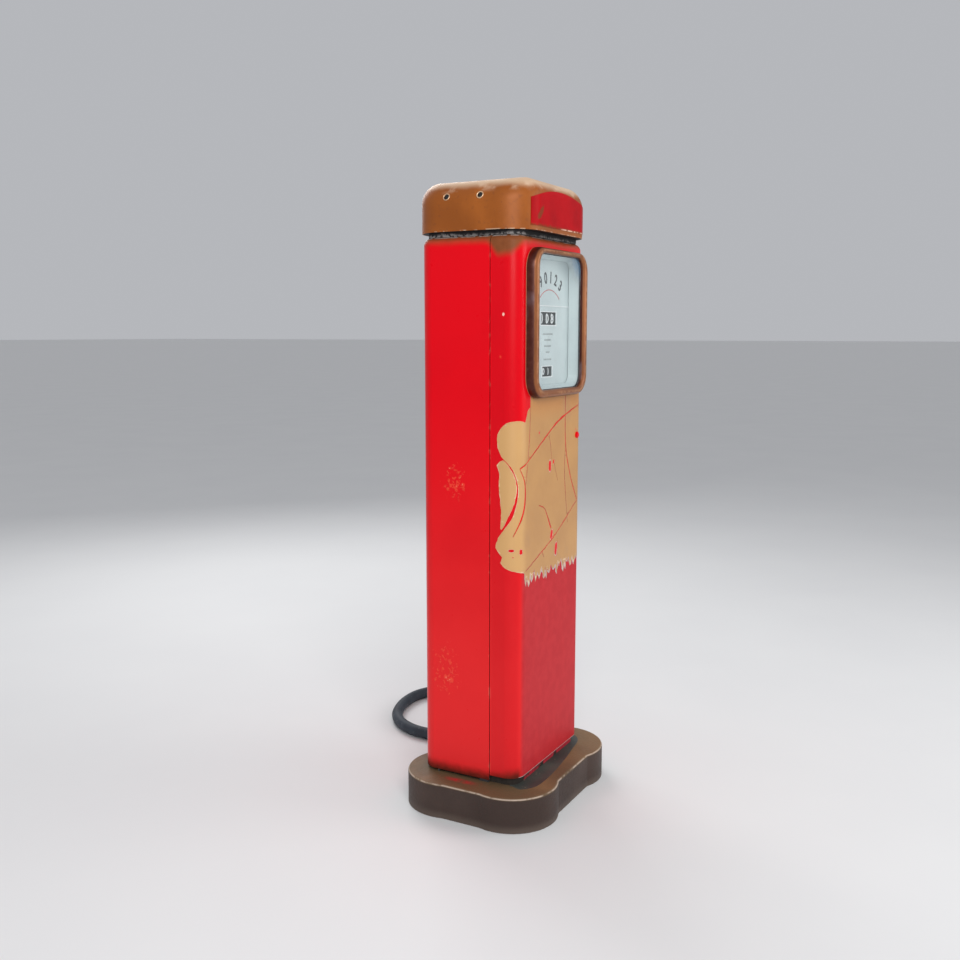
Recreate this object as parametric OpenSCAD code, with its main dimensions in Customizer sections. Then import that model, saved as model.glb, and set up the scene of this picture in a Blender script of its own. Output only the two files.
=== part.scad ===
// Computing petrol pump: lobed cast base, pressed steel cabinet with a hinged front cover,
// domed cap, glazed dial with number wheels, pumping machinery, delivery hose and nozzle.
// X is to the right as the dial is read, the dial faces -Y, Z is up, and the floor is z = 0.

/* [Base] */
// Height of the cast base
base_h = 106; // [90:1:120]
// Radius of each corner lobe
lobe_r = 141; // [136:1:146]
// Distance of the lobe centres from the middle, across
lobe_x = 170; // [168:1:172]
// Distance of the lobe centres from the middle, front to back
lobe_y = 100; // [98:1:102]
// Distance from the middle to the flat of a side
flat_x = 306; // [302:1:308]
// Distance from the middle to the flat of the front
flat_y = 227.5; // [222:0.5:232]
// Wall of the casting
base_wall = 12; // [8:1:14]

/* [Body] */
// Half width of the cabinet
body_hx = 226.5; // [225:0.5:228]
// Front face of the cabinet
body_front = -147; // [-148:0.5:-146]
// Back face of the cabinet
body_back = 182; // [180:0.5:184]
// Corner radius seen from above
body_r = 49; // [46:1:50]
// Bottom edge of the rear shell
body_z0 = 114; // [110:1:118]
// Bottom edge of the front cover
cover_z0 = 130; // [130:1:136]
// Top of the cabinet
body_z1 = 1702; // [1700:1:1702]
// Rounding of the top edge
shoulder_r = 22; // [16:1:26]
// Thickness of the sheet steel
sheet = 2; // [1.6:0.1:2]
// Seam between the front cover and the rear shell
seam_y = -54.5; // [-54.5:0.1:-54]

/* [Cap] */
// Half width of the cap
cap_hx = 230; // [228:1:234]
// Front of the cap
cap_front = -166; // [-168:1:-164]
// Back of the cap
cap_back = 206; // [204:1:208]
// Corner radius of the cap seen from above
cap_r = 95; // [90:1:110]
// Bottom rim of the cap
cap_z0 = 1716; // [1714:1:1716]
// Crown of the cap
cap_peak = 1871; // [1865:1:1880]
// How far the arch drops at the sides
cap_sag = 26; // [18:1:32]
// Rounding of the edge of the cap
cap_edge = 55; // [50:1:60]

/* [Dial] */
// Half width of the glazed opening
dial_hx = 153; // [150:1:156]
// Bottom of the glazed opening
dial_z0 = 1270; // [1266:1:1274]
// Top of the glazed opening
dial_z1 = 1655; // [1650:1:1658]
// Corner radius of the glazed opening
dial_r = 38; // [34:1:42]
// Height of the sale window's middle
sale_z = 1474.5; // [1472:0.5:1477]
// Height of the volume window's middle
volume_z = 1319.5; // [1317:0.5:1322]
// Radius of a sale wheel
sale_wheel_r = 57; // [54:0.5:57]
// Radius of a volume wheel
volume_wheel_r = 42; // [40:0.5:42]

/* [Hose and nozzle] */
// Outside diameter of the hose
hose_d = 40; // [36:1:40]
// Distance of the nozzle's barrel from the middle of the pump
nozzle_x = 318; // [318:1:320]
// Angle of the spout from the barrel
spout_angle = 50; // [49:1:51]
// Length of the straight spout
spout_l = 170; // [160:1:172]

/* [Drive] */
// Radius of the pump's pulley
pump_pulley_r = 75; // [70:1:78]
// Radius of the motor's pulley
motor_pulley_r = 32; // [30:1:34]

/* [Hidden] */

$fn = 48;
corner_steps = 8; // facets round a corner of a lofted ring
fillet_r = 28;    // hollow between two lobes
rim_r = 8;        // rounding of the base's top edge
deck = 14;        // thickness of the base's top
run_gap = 0.05;   // radial clearance of a running shaft
eps = 0.01;

red = [0.80, 0.03, 0.05];
copper = [0.55, 0.30, 0.12];
iron = [0.26, 0.22, 0.20];
dark_steel = [0.22, 0.22, 0.24];
steel = [0.60, 0.62, 0.64];
aluminium = [0.72, 0.73, 0.74];
brass = [0.72, 0.58, 0.30];
enamel = [0.80, 0.85, 0.84];
black = [0.05, 0.05, 0.06];
rubber = [0.20, 0.23, 0.27];
grey_paint = [0.35, 0.38, 0.38];

inner_x = body_hx - sheet;
post_w = 30;                   // leg of a post's angle section
post_t = 4;
post_in = inner_x - post_w;    // inner edge of every post
post_front = -50;              // front posts start just behind the seam
post_back = 150;               // rear posts end here
pivot = [-219, -62.5];         // upright axis on which the front cover swings
pivot_r = 3;
hinge_z = [186, 1640];         // bottom of the lower lug and of the upper lug
lug_t = 4;
lock = [172, 1117];            // x and z of the cover lock
post_top = 1676;               // posts end below the cabinet's rounded shoulder
neck_z = 1703;                 // underside of the neck above the front cover
glass_w = [160, 164];          // back and front of the glass, measured out from y = 0
dial_face = -128;
sale_y = dial_face + 3.5 + sale_wheel_r;
volume_y = dial_face + 3.5 + volume_wheel_r;
shaft_r = 6;                   // number wheels turn on shafts of this radius
cheek_x = 62;                  // inner faces of the register's side plates
cap_skin = 3;                  // thickness of the cap
insert_hx = 178;               // half width of the cap's red panel
insert_z0 = 1728;
insert_h = 105;                // height of that panel in the middle
screw_y = [85.5, -22.5];       // the cap's screws on each side
screw_z = 1811;
side_y = 17.5;                 // the nozzle hangs in this plane
outlet = [285, 100, 1110];     // where the delivery line turns down outside
pocket_z = [1095, 1195];       // recess for the spout
pocket_hy = 25.5;
pocket_x = 155;
fork_z = 1000;                 // top of the fork that carries the nozzle
switch_z = 1262;
reset = [0, 1400];             // y and z of the reset shaft
pump_x = -85;
motor_x = 95;
drive_z = 250;
pulley_y = [-38, -18];
meter_c = [30, 60];
separator_c = [-85, 65];
suction = [-85, 130];
conduit_c = [200, 75];

// Points that the hose follows from the outlet's ferrule to the nozzle's ferrule. It hangs,
// lies on the floor in one open loop behind the pump and rises to the nozzle.
hose_route = [
  [285, 100, 1035], [285, 100, 950], [287, 103, 850], [294, 111, 750], [305, 122, 650],
  [320, 136, 550], [337, 151, 450], [353, 166, 350], [367, 180, 265], [375, 190, 190],
  [372, 200, 120], [344, 224, 63], [299, 262, 29], [250, 305, 21], [217, 359, 21],
  [203, 425, 21], [210, 492, 21], [241, 558, 21], [286, 607, 21], [342, 642, 21],
  [424, 669, 21], [510, 675, 21], [578, 652, 21], [627, 605, 21], [652, 545, 21],
  [652, 485, 21], [630, 425, 21], [590, 366, 21], [545, 302, 21], [500, 238, 21],
  [455, 175, 25], [412, 115, 47], [379, 69, 104], [362, 46, 182], [354, 37, 262],
  [344, 30, 360], [332, 23, 470], [323, 19, 590], [318, 17.5, 700], [318, 17.5, 772]];

// ---- points and faces of lofted solids ----

function unit(v) = v / norm(v);

// A rounded rectangle, anticlockwise, as points of the plane.
function round_rect(x0, x1, y0, y1, r) = [
  for (c = [0:3], i = [0:corner_steps])
    let (a = 90 * c + 90 * i / corner_steps)
      [(c == 0 || c == 3 ? x1 - r : x0 + r) + r * cos(a), (c < 2 ? y1 - r : y0 + r) + r * sin(a)]];

function lift(points, z) = [for (p = points) [p.x, p.y, z]];

function band_faces(rings, n, closed) = [
  for (i = [0 : rings - (closed ? 1 : 2)], j = [0 : n - 1])
    let (a = i * n + j, b = i * n + (j + 1) % n, k = (i + 1) % rings * n)
      each [[a, k + (j + 1) % n, b], [a, k + j, k + (j + 1) % n]]];

// Skin through a list of rings, closed by its first and last ring.
module loft(rings) {
  n = len(rings[0]);
  last = (len(rings) - 1) * n;
  polyhedron(
    points = [for (ring = rings) each ring],
    faces = concat(band_faces(len(rings), n, false),
      [[for (j = [0 : n - 1]) j]], [[for (j = [n - 1 : -1 : 0]) last + j]]));
}

// Skin through a list of rings whose last ring joins the first, as on a frame.
module loft_frame(rings) {
  n = len(rings[0]);
  polyhedron(points = [for (ring = rings) each ring], faces = band_faces(len(rings), n, true));
}

// ---- shapes that repeat ----

module round_square(x0, x1, y0, y1, r) {
  translate([x0 + r, y0]) square([x1 - x0 - 2 * r, y1 - y0]);
  translate([x0, y0 + r]) square([x1 - x0, y1 - y0 - 2 * r]);
  for (x = [x0 + r, x1 - r], y = [y0 + r, y1 - r]) translate([x, y]) circle(r = r);
}

module body_plan(d = 0) {
  round_square(-body_hx + d, body_hx - d, body_front + d, body_back - d, body_r - d);
}

module slab(z0, z1) translate([0, 0, z0]) linear_extrude(z1 - z0) children();

// A box from its two opposite corners.
module block(a, b) translate(a) cube(b - a);

// A cylinder between two points.
module rod(a, b, r) {
  d = b - a;
  translate(a) rotate([0, acos(d.z / norm(d)), atan2(d.y, d.x)]) cylinder(h = norm(d), r = r);
}

// A pipe through points, with ball-shaped bends.
module pipe(points, r) {
  for (i = [1 : len(points) - 1]) rod(points[i - 1], points[i], r);
  for (i = [1 : 1 : len(points) - 2]) translate(points[i]) sphere(r = r);
}

// Puts a shape drawn in x and height at a distance in front of y = 0.
module facing(w) translate([0, -w, 0]) rotate([90, 0, 0]) children();

module mirrored_x() {
  children();
  mirror([1, 0, 0]) children();
}

// ---- base ----

module lobe_profile() {
  polygon(concat([[0, 0], [lobe_r, 0]],
    [for (a = [0 : 15 : 90]) [lobe_r - rim_r + rim_r * cos(a), base_h - rim_r + rim_r * sin(a)]],
    [[0, base_h]]));
}

// Cross-section of the part between two lobes, with the same rim.
module flat_profile(half) {
  polygon(concat([[-half, 0], [half, 0]],
    [for (a = [0 : 15 : 90]) [half - rim_r + rim_r * cos(a), base_h - rim_r + rim_r * sin(a)]],
    [for (a = [90 : -15 : 0]) [-half + rim_r - rim_r * cos(a), base_h - rim_r + rim_r * sin(a)]]));
}

// Fills the notch between a lobe and a flat. The hollow is an arc about c that touches the flat
// at foot and the lobe.
module lobe_fillet(c, foot) {
  lobe = [lobe_x, lobe_y];
  difference() {
    slab(0, base_h) polygon([foot, lobe + (c - lobe) * lobe_r / (lobe_r + fillet_r), lobe]);
    translate([c.x, c.y, 0]) rotate_extrude() polygon(concat([[0, -1], [fillet_r, -1]],
      [for (a = [0 : 15 : 90])
        [fillet_r + rim_r - rim_r * cos(a), base_h - rim_r + rim_r * sin(a)]],
      [[fillet_r + rim_r, base_h + 1], [0, base_h + 1]]));
  }
}

module lobe_fillets() {
  reach = lobe_r + fillet_r;
  side = [flat_x + fillet_r, lobe_y - sqrt(pow(reach, 2) - pow(flat_x + fillet_r - lobe_x, 2))];
  front = [lobe_x - sqrt(pow(reach, 2) - pow(flat_y + fillet_r - lobe_y, 2)), flat_y + fillet_r];
  for (mx = [0, 1], my = [0, 1]) mirror([mx, 0, 0]) mirror([0, my, 0]) {
    lobe_fillet(side, [flat_x, side.y]);
    lobe_fillet(front, [front.x, flat_y]);
  }
}

// Inside of the casting, seen from above.
module base_inside() {
  for (x = [-lobe_x, lobe_x], y = [-lobe_y, lobe_y])
    translate([x, y]) circle(r = lobe_r - base_wall);
  square([2 * (flat_x - base_wall), 2 * lobe_y], center = true);
  square([2 * lobe_x, 2 * (flat_y - base_wall)], center = true);
}

module base_casting() color(iron) {
  difference() {
    union() {
      for (x = [-lobe_x, lobe_x], y = [-lobe_y, lobe_y])
        translate([x, y, 0]) rotate_extrude() lobe_profile();
      rotate([90, 0, 0]) translate([0, 0, -62]) linear_extrude(124) flat_profile(flat_x);
      rotate([90, 0, 90]) translate([0, 0, -112]) linear_extrude(224) flat_profile(flat_y);
      lobe_fillets();
    }
    slab(-1, base_h - deck) base_inside();
    block([-130, -60, 0], [130, 160, base_h + 1]);
    translate([conduit_c.x, conduit_c.y, 0]) cylinder(h = base_h + 1, r = 12);
  }
  for (x = [-167, 167], y = [-40, 40])
    translate([x, y, 10]) cylinder(h = base_h - deck - 10, r = 14);
}

module anchor_frame() color(dark_steel) difference() {
  slab(0, 10) {
    mirrored_x() translate([145, -115]) square([44, 230]);
    translate([-150, -15]) square([300, 30]);
  }
  for (x = [-167, 167], y = [-90, 90]) translate([x, y, -1]) cylinder(h = 12, r = 9);
}

module plinth() color(red) difference() {
  slab(base_h, cover_z0 - 1) difference() {
    body_plan(12);
    body_plan(16);
  }
  mirrored_x() {
    block([post_in - 1, post_front - 1, 0], [body_hx, post_front + post_w + 1, 200]);
    block([post_in - 1, post_back - post_w - 1, 0], [body_hx, post_back + 1, 200]);
  }
}

// ---- frame ----

module angle_section() {
  square([post_w, post_t]);
  translate([post_w - post_t, 0]) square([post_t, post_w]);
}

module frame_posts() color(dark_steel) mirrored_x() slab(base_h, post_top) {
  translate([post_in, post_front]) angle_section();
  translate([post_in, post_back - post_w]) {
    square([post_w, post_t]);
    square([post_t, post_w]);
  }
}

module shelf_plate(z) difference() {
  slab(z, z + 4) {
    translate([-post_in, post_front + post_t]) square([2 * post_in, post_back - post_front - post_t]);
    translate([-inner_x, post_front + post_w]) square([2 * inner_x, 140]);
  }
  children();
}

module machine_shelf() color(dark_steel) shelf_plate(150) {
  translate([suction.x, suction.y, 140]) cylinder(h = 20, r = 27);
  translate([conduit_c.x, conduit_c.y, 140]) cylinder(h = 20, r = 10);
}

module meter_shelf() color(dark_steel) shelf_plate(664) {
  translate([separator_c.x, separator_c.y, 650]) cylinder(h = 30, r = 20);
  translate([165, 100, 650]) cylinder(h = 30, r = 20);
  translate([195, 60, 650]) cylinder(h = 30, r = 8);
}

module register_shelf() color(dark_steel) shelf_plate(1236) {
  translate([meter_c.x, meter_c.y, 1230]) cylinder(h = 20, r = 9);
  translate([195, 60, 1230]) cylinder(h = 20, r = 8);
}

module neck_frame() color(black) {
  difference() {
    slab(body_z1, cap_z0) difference() {
      body_plan(14);
      body_plan(42);
    }
    block([-300, -300, 0], [300, seam_y, neck_z]);
  }
  slab(cap_z0, cap_z0 + 4) difference() {
    polygon(round_rect(-cap_hx + cap_skin, cap_hx - cap_skin, cap_front + cap_skin,
      cap_back - cap_skin, cap_r - cap_skin));
    body_plan(42);
  }
  difference() {
    mirrored_x() for (y = screw_y) block([215, y - 14, cap_z0 + 4], [219, y + 14, screw_z + 5]);
    for (y = screw_y) rod([-230, y, screw_z], [230, y, screw_z], 3.6);
  }
}

// ---- cabinet ----

// The pressed skin from a height up to its rounded top edge and inward flange.
module skin(z0) {
  low = body_z1 - shoulder_r;
  profile = concat([[0, z0]],
    [for (a = [0 : 15 : 90]) [shoulder_r * (1 - cos(a)), low + shoulder_r * sin(a)]],
    [[36, body_z1], [36, body_z1 - sheet]],
    [for (a = [90 : -15 : 0])
      [shoulder_r - (shoulder_r - sheet) * cos(a), low + (shoulder_r - sheet) * sin(a)]],
    [[sheet, z0]]);
  loft_frame([for (p = profile)
    lift(round_rect(-body_hx + p.x, body_hx - p.x, body_front + p.x, body_back - p.x, body_r - p.x),
      p.y)]);
}

module rear_shell() color(red) difference() {
  intersection() {
    skin(body_z0);
    block([-300, seam_y + 1.5, 0], [300, 300, 2000]);
  }
  block([200, side_y - pocket_hy - 4, pocket_z[0] - 4], [240, side_y + pocket_hy + 4, pocket_z[1] + 4]);
  rod([200, outlet.y, outlet.z], [240, outlet.y, outlet.z], 20);
  rod([200, side_y, switch_z], [240, side_y, switch_z], 7);
  rod([200, reset[0], reset[1]], [240, reset[0], reset[1]], 9);
}

module door_panel() color(red) difference() {
  intersection() {
    skin(cover_z0);
    block([-300, -300, 0], [300, seam_y - 1, 2000]);
  }
  facing(140) linear_extrude(20)
    round_square(-dial_hx - 3, dial_hx + 3, dial_z0 - 2, dial_z1 + 1, dial_r + 2);
  rod([lock[0], -160, lock[1]], [lock[0], -140, lock[1]], 7.1);
}

module door_lugs() color(steel) for (z = hinge_z) difference() {
  block([-inner_x, -97, z], [-205, pivot.y + 5.2, z + lug_t]);
  translate([pivot.x, pivot.y, z - 1]) cylinder(h = lug_t + 2, r = pivot_r + run_gap);
}

// One bracket with its pin, its top at z = 0 and its pin upwards.
module hinge_bracket() {
  translate([0, 0, -5.5]) linear_extrude(5.5) {
    translate(pivot) circle(r = 5.2);
    translate([pivot.x, pivot.y - 5.2]) square([24, 10.4]);
    translate([-207, pivot.y]) square([12, post_front - pivot.y]);
  }
  translate([pivot.x, pivot.y, -1]) cylinder(h = 8, r = pivot_r);
}

module hinge_brackets() color(steel) {
  translate([0, 0, hinge_z[0] - 0.5]) hinge_bracket();
  translate([0, 0, hinge_z[1] + lug_t + 0.5]) mirror([0, 0, 1]) hinge_bracket();
}

module lock_keeper() color(steel) slab(lock[1] - 16, lock[1] + 16)
  polygon([[186, -140], [197, -140], [200.5, -137.5], [200.5, post_front], [196.5, post_front],
    [196.5, -137.3], [186, -137.3]]);

module cover_lock() color(red) {
  facing(147.3) translate([lock[0], lock[1], 0]) {
    cylinder(h = 4.5, r = 10);
    cylinder(h = 6.5, r = 7);
    translate([0, 0, -14]) cylinder(h = 15, r = 7);
  }
  block([lock[0] - 5, -137, lock[1] - 5], [lock[0] + 5, -134, lock[1] + 22]);
}

// ---- dial front ----

// Rounded rectangle between the glazed opening (0) and the bezel's outside (1).
function bezel_ring(f, w) = lift(round_rect(
  -dial_hx - 34 * f, dial_hx + 34 * f, dial_z0 - 24 * f, dial_z1 + 17 * f, dial_r + 24 * f), w);

module bezel() color(copper) facing(0) loft_frame([
  for (p = [[0.15, 164], [0, 164], [0, 170], [0.1, 174.5], [0.3, 177.5], [0.55, 178], [0.78, 174.5],
      [0.93, 167], [1, 157], [1, 147], [0.15, 147]])
    bezel_ring(p[0], p[1])]);

module glass() color([0.75, 0.85, 0.88, 0.35]) facing(glass_w[0]) linear_extrude(4)
  round_square(-dial_hx - 4.5, dial_hx + 4.5, dial_z0 - 3, dial_z1 + 2, dial_r + 3);

module glass_gasket() color(black) facing(158.4) linear_extrude(1.6) difference() {
  round_square(-dial_hx - 4.5, dial_hx + 4.5, dial_z0 - 3, dial_z1 + 2, dial_r + 3);
  round_square(-dial_hx, dial_hx, dial_z0 + 1, dial_z1 - 1, dial_r - 1);
}

// White walls that run back from the glass towards the dial, with a flange behind the cover.
module dial_surround() color(enamel) facing(0) loft_frame([
  for (p = [[-2, 158.2], [0, 158.2], [0, 145], [14, 145], [14, 143], [0, 143], [-9, 129.5],
      [-11, 129.5]])
    lift(round_rect(-dial_hx - p[0], dial_hx + p[0], dial_z0 - p[0], dial_z1 + p[0], dial_r + p[0]),
      p[1])]);

module dial_plate() color(enamel) facing(-dial_face - 2) linear_extrude(2) difference() {
  round_square(-dial_hx + 7, dial_hx - 7, dial_z0 + 7, dial_z1 - 7, dial_r - 7);
  translate([-52, sale_z - 18.5]) square([104, 37]);
  translate([-40, volume_z - 14.5]) square([67, 29]);
}

// ---- register ----

module register_frame() color(steel) {
  difference() {
    for (x = [-cheek_x - 4, cheek_x]) block([x, dial_face + 2, 1240], [x + 4, 15, dial_z1 - 5]);
    rod([cheek_x - 1, reset[0], reset[1]], [cheek_x + 5, reset[0], reset[1]], 5 + run_gap);
  }
  rod([-cheek_x, sale_y, sale_z], [cheek_x, sale_y, sale_z], shaft_r);
  rod([-cheek_x, volume_y, volume_z], [cheek_x, volume_y, volume_z], shaft_r);
  for (p = [[0, 1270], [0, 1560], [-60, 1640]]) rod([-cheek_x, p[0], p[1]], [cheek_x, p[0], p[1]], 4);
}

module number_wheel(x, y, z, r, w) color(black) translate([x - w / 2, y, z]) rotate([90, 0, 90])
  rotate_extrude() polygon([
    [shaft_r + run_gap, 0], [14, 0], [14, w / 2 - 2], [r - 4, w / 2 - 2], [r - 4, 0], [r, 0], [r, w],
    [r - 4, w], [r - 4, w / 2 + 2], [14, w / 2 + 2], [14, w], [shaft_r + run_gap, w]]);

module sale_wheel(i) number_wheel([34.5, 0, -34.5][i], sale_y, sale_z, sale_wheel_r, 33);
module volume_wheel(i) number_wheel([10, -23][i], volume_y, volume_z, volume_wheel_r, 31);

module register_gearbox() color(grey_paint) difference() {
  block([5, 30, 1240], [55, 90, 1285]);
  translate([meter_c.x, meter_c.y, 1239]) cylinder(h = 30, r = 6 + run_gap);
}

module meter_shaft() color(steel) translate([meter_c.x, meter_c.y, 785]) {
  cylinder(h = 475, r = 6);
  translate([0, 0, 60]) cylinder(h = 12, r = 12);
}

module dial_lamp() color([0.95, 0.93, 0.85]) {
  rod([-50, -95, 1600], [50, -95, 1600], 11);
  mirrored_x() rod([50, -95, 1600], [cheek_x, -95, 1600], 14);
}

// ---- machinery ----

module motor() color(grey_paint) {
  difference() {
    union() {
      rod([motor_x, 20, drive_z], [motor_x, 140, drive_z], 66);
      rod([motor_x, 8, drive_z], [motor_x, 150, drive_z], 56);
      rod([motor_x, -4, drive_z], [motor_x, 10, drive_z], 18);
      block([50, 35, 154], [140, 125, 200]);
      block([70, 60, 300], [120, 110, 338]);
    }
    rod([motor_x, -5, drive_z], [motor_x, 42, drive_z], 8 + run_gap);
  }
}

// A pulley on its shaft, its front at the pulleys' common front.
module pulley(x, r, shaft) color(dark_steel) translate([x, pulley_y[0], drive_z]) rotate([-90, 0, 0])
  rotate_extrude() polygon([
    [0, 0], [r, 0], [r, 4], [r - 9.5, 4], [r - 9.5, 16], [r, 16], [r, 20], [shaft + 6, 20],
    [shaft + 6, 24], [shaft, 24], [shaft, 76], [0, 76]]);

module motor_pulley() pulley(motor_x, motor_pulley_r, 8);
module pump_pulley() pulley(pump_x, pump_pulley_r, 10);

// Outline of a taut loop round two circles on a level line.
module loop_outline(r1, r2) hull() {
  circle(r = r1);
  translate([motor_x - pump_x, 0]) circle(r = r2);
}

module drive_belt() color(black) translate([pump_x, pulley_y[0] + 15, drive_z]) rotate([90, 0, 0])
  linear_extrude(10) difference() {
    loop_outline(pump_pulley_r - 1, motor_pulley_r - 1);
    loop_outline(pump_pulley_r - 8.5, motor_pulley_r - 8.5);
  }

module pump_unit() color(iron) difference() {
  union() {
    rod([pump_x, 20, drive_z], [pump_x, 105, drive_z], 60);
    rod([pump_x, -2, drive_z], [pump_x, 25, drive_z], 24);
    block([-135, 30, 154], [-35, 100, 215]);
    rod([pump_x, separator_c.y, drive_z + 40], [pump_x, separator_c.y, 340], 24);
    rod([-150, separator_c.y, drive_z], [-130, separator_c.y, drive_z], 30);
  }
  rod([pump_x, -3, drive_z], [pump_x, 42, drive_z], 10 + run_gap);
}

module strainer_plug() color(brass) {
  rod([-160, separator_c.y, drive_z], [-150, separator_c.y, drive_z], 30);
  translate([-172, separator_c.y, drive_z]) rotate([0, 90, 0]) cylinder(h = 12, r = 15, $fn = 6);
}

module air_separator() color(grey_paint) translate([separator_c.x, separator_c.y, 340]) {
  cylinder(h = 12, r = 34);
  translate([0, 0, 12]) cylinder(h = 18, r1 = 34, r2 = 60);
  translate([0, 0, 30]) cylinder(h = 220, r = 60);
  translate([0, 0, 120]) cylinder(h = 12, r = 68);
  translate([0, 0, 250]) cylinder(h = 22, r1 = 60, r2 = 24);
}

module meter() color(aluminium) difference() {
  union() {
    translate([meter_c.x, meter_c.y, 668]) cylinder(h = 122, r = 76);
    translate([meter_c.x, meter_c.y, 790]) cylinder(h = 14, r = 84);
    translate([meter_c.x, meter_c.y, 804]) cylinder(h = 16, r = 20);
    rod([meter_c.x - 86, 65, 720], [meter_c.x, 65, 720], 24);
    rod([meter_c.x, meter_c.y, 720], [meter_c.x + 88, meter_c.y, 720], 24);
  }
  translate([meter_c.x, meter_c.y, 780]) cylinder(h = 50, r = 6 + run_gap);
}

module suction_pipe() color(dark_steel) difference() {
  union() {
    pipe([[suction.x, suction.y, 30], [suction.x, suction.y, drive_z], [pump_x, 105, drive_z]], 21);
    translate([suction.x, suction.y, 3]) cylinder(h = 34, r = 26);
  }
  translate([suction.x, suction.y, 0]) cylinder(h = 28, r = 21);
}

module delivery_pipe() color(dark_steel) {
  pipe([[separator_c.x, separator_c.y, 612], [separator_c.x, separator_c.y, 720],
    [meter_c.x - 86, 65, 720]], 17);
  pipe([[meter_c.x + 88, meter_c.y, 720], [165, meter_c.y, 720], [165, outlet.y, 720],
    [165, outlet.y, outlet.z], [body_hx, outlet.y, outlet.z]], 17);
}

module junction_box() color(grey_paint) {
  block([154.5, 40, 420], [inner_x, 112, 510]);
  block([148.5, 36, 416], [154.5, 116, 514]);
}

module conduits() color(steel) {
  difference() {
    translate([conduit_c.x, conduit_c.y, 3]) cylinder(h = 417, r = 9);
    translate([conduit_c.x, conduit_c.y, 0]) cylinder(h = 33, r = 7);
  }
  pipe([[165, 85, 420], [165, 85, 320], [120, 85, 320]], 6);
  rod([195, 60, 510], [195, 60, 1240], 6);
}

module switch_box() color(dark_steel) difference() {
  block([172, -12, 1240], [inner_x, 70, 1290]);
  rod([190, side_y, switch_z], [230, side_y, switch_z], 5 + run_gap);
}

module switch_lever() color(aluminium) {
  rod([192, side_y, switch_z], [233, side_y, switch_z], 5);
  rod([229, side_y, switch_z], [243, side_y, switch_z], 13);
  block([234, side_y - 6, switch_z - 42], [241, side_y + 6, switch_z]);
  rod([234, side_y, switch_z - 42], [248, side_y, switch_z - 42], 8);
}

module reset_bushing() color(aluminium) difference() {
  union() {
    rod([inner_x - 12, reset[0], reset[1]], [234, reset[0], reset[1]], 8.9);
    rod([body_hx, reset[0], reset[1]], [231, reset[0], reset[1]], 16);
  }
  rod([200, reset[0], reset[1]], [240, reset[0], reset[1]], 5 + run_gap);
}

module reset_knob() color(black) {
  rod([cheek_x - 4, reset[0], reset[1]], [250, reset[0], reset[1]], 5);
  difference() {
    rod([240, reset[0], reset[1]], [262, reset[0], reset[1]], 20);
    for (a = [0 : 45 : 315])
      rod([239, reset[0] + 23 * cos(a), reset[1] + 23 * sin(a)],
        [263, reset[0] + 23 * cos(a), reset[1] + 23 * sin(a)], 6);
  }
}

// ---- hose and nozzle ----

module outlet_elbow() color(aluminium) {
  rod([body_hx, outlet.y, outlet.z], [body_hx + 7, outlet.y, outlet.z], 40);
  for (a = [45 : 90 : 315])
    rod([body_hx + 7, outlet.y + 31 * cos(a), outlet.z + 31 * sin(a)],
      [body_hx + 12, outlet.y + 31 * cos(a), outlet.z + 31 * sin(a)], 5.5);
  pipe([[body_hx + 7, outlet.y, outlet.z], outlet, [outlet.x, outlet.y, 1072]], 19);
  translate([outlet.x, outlet.y, 1072]) cylinder(h = 20, r = 26, $fn = 6);
}

module ferrule(p) translate(p) {
  cylinder(h = 37, r = 23.5);
  for (z = [6, 18]) translate([0, 0, z]) cylinder(h = 5, r = 24.5);
}

module outlet_ferrule() color(brass) ferrule([outlet.x, outlet.y, 1035]);
module nozzle_ferrule() color(brass) ferrule([nozzle_x, side_y, 772]);

// The tube of the hose: one ring to each point of its route.
module hose() color(rubber) {
  n = len(hose_route);
  sides = 10;
  tangent = [for (i = [0 : n - 1])
    i == 0 || i == n - 1 ? [0, 0, i == 0 ? -1 : 1] : unit(hose_route[i + 1] - hose_route[i - 1])];
  side = [for (i = 0, u = [1, 0, 0]; i < n;
    i = i + 1, u = i < n ? unit(u - (u * tangent[i]) * tangent[i]) : u) u];
  loft([for (i = [0 : n - 1])
    let (v = cross(tangent[i], side[i]))
      [for (j = [0 : sides - 1])
        hose_route[i] + hose_d / 2 * (cos(360 * j / sides) * side[i] + sin(360 * j / sides) * v)]]);
}

module nozzle_body() color(aluminium) {
  translate([nozzle_x, side_y, 0]) {
    translate([0, 0, 809]) cylinder(h = 26, r = 25, $fn = 6);
    translate([0, 0, 835]) cylinder(h = 215, r = 20);
    translate([0, 0, 870]) cylinder(h = 12, r1 = 20, r2 = 25);
    translate([0, 0, 882]) cylinder(h = 62, r = 25);
    translate([0, 0, 944]) cylinder(h = 14, r1 = 25, r2 = 20);
    translate([0, 0, fork_z + 0.4]) cylinder(h = 12, r = 27);
  }
  difference() {
    for (y = [-10, 6]) block([280, side_y + y, 966], [nozzle_x - 15, side_y + y + 4, 984]);
    rod([286, side_y - 12, 977], [286, side_y + 12, 977], 3 + run_gap);
  }
}

module nozzle_spout() color(steel) {
  turn = [nozzle_x, side_y, 1062];
  tip = turn + spout_l * [-sin(spout_angle), 0, cos(spout_angle)];
  rod([nozzle_x, side_y, 1050], turn, 10.5);
  translate(turn) sphere(r = 10.5);
  rod(turn, tip, 10.5);
}

module nozzle_guard() color(aluminium) translate([0, side_y + 8, 0]) rotate([90, 0, 0])
  linear_extrude(16) difference() {
    round_square(240, nozzle_x - 8, 846, 988, 14);
    round_square(244, nozzle_x + 20, 850, 984, 10);
    translate([nozzle_x - 20, 800]) square([30, 200]);
  }

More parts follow.
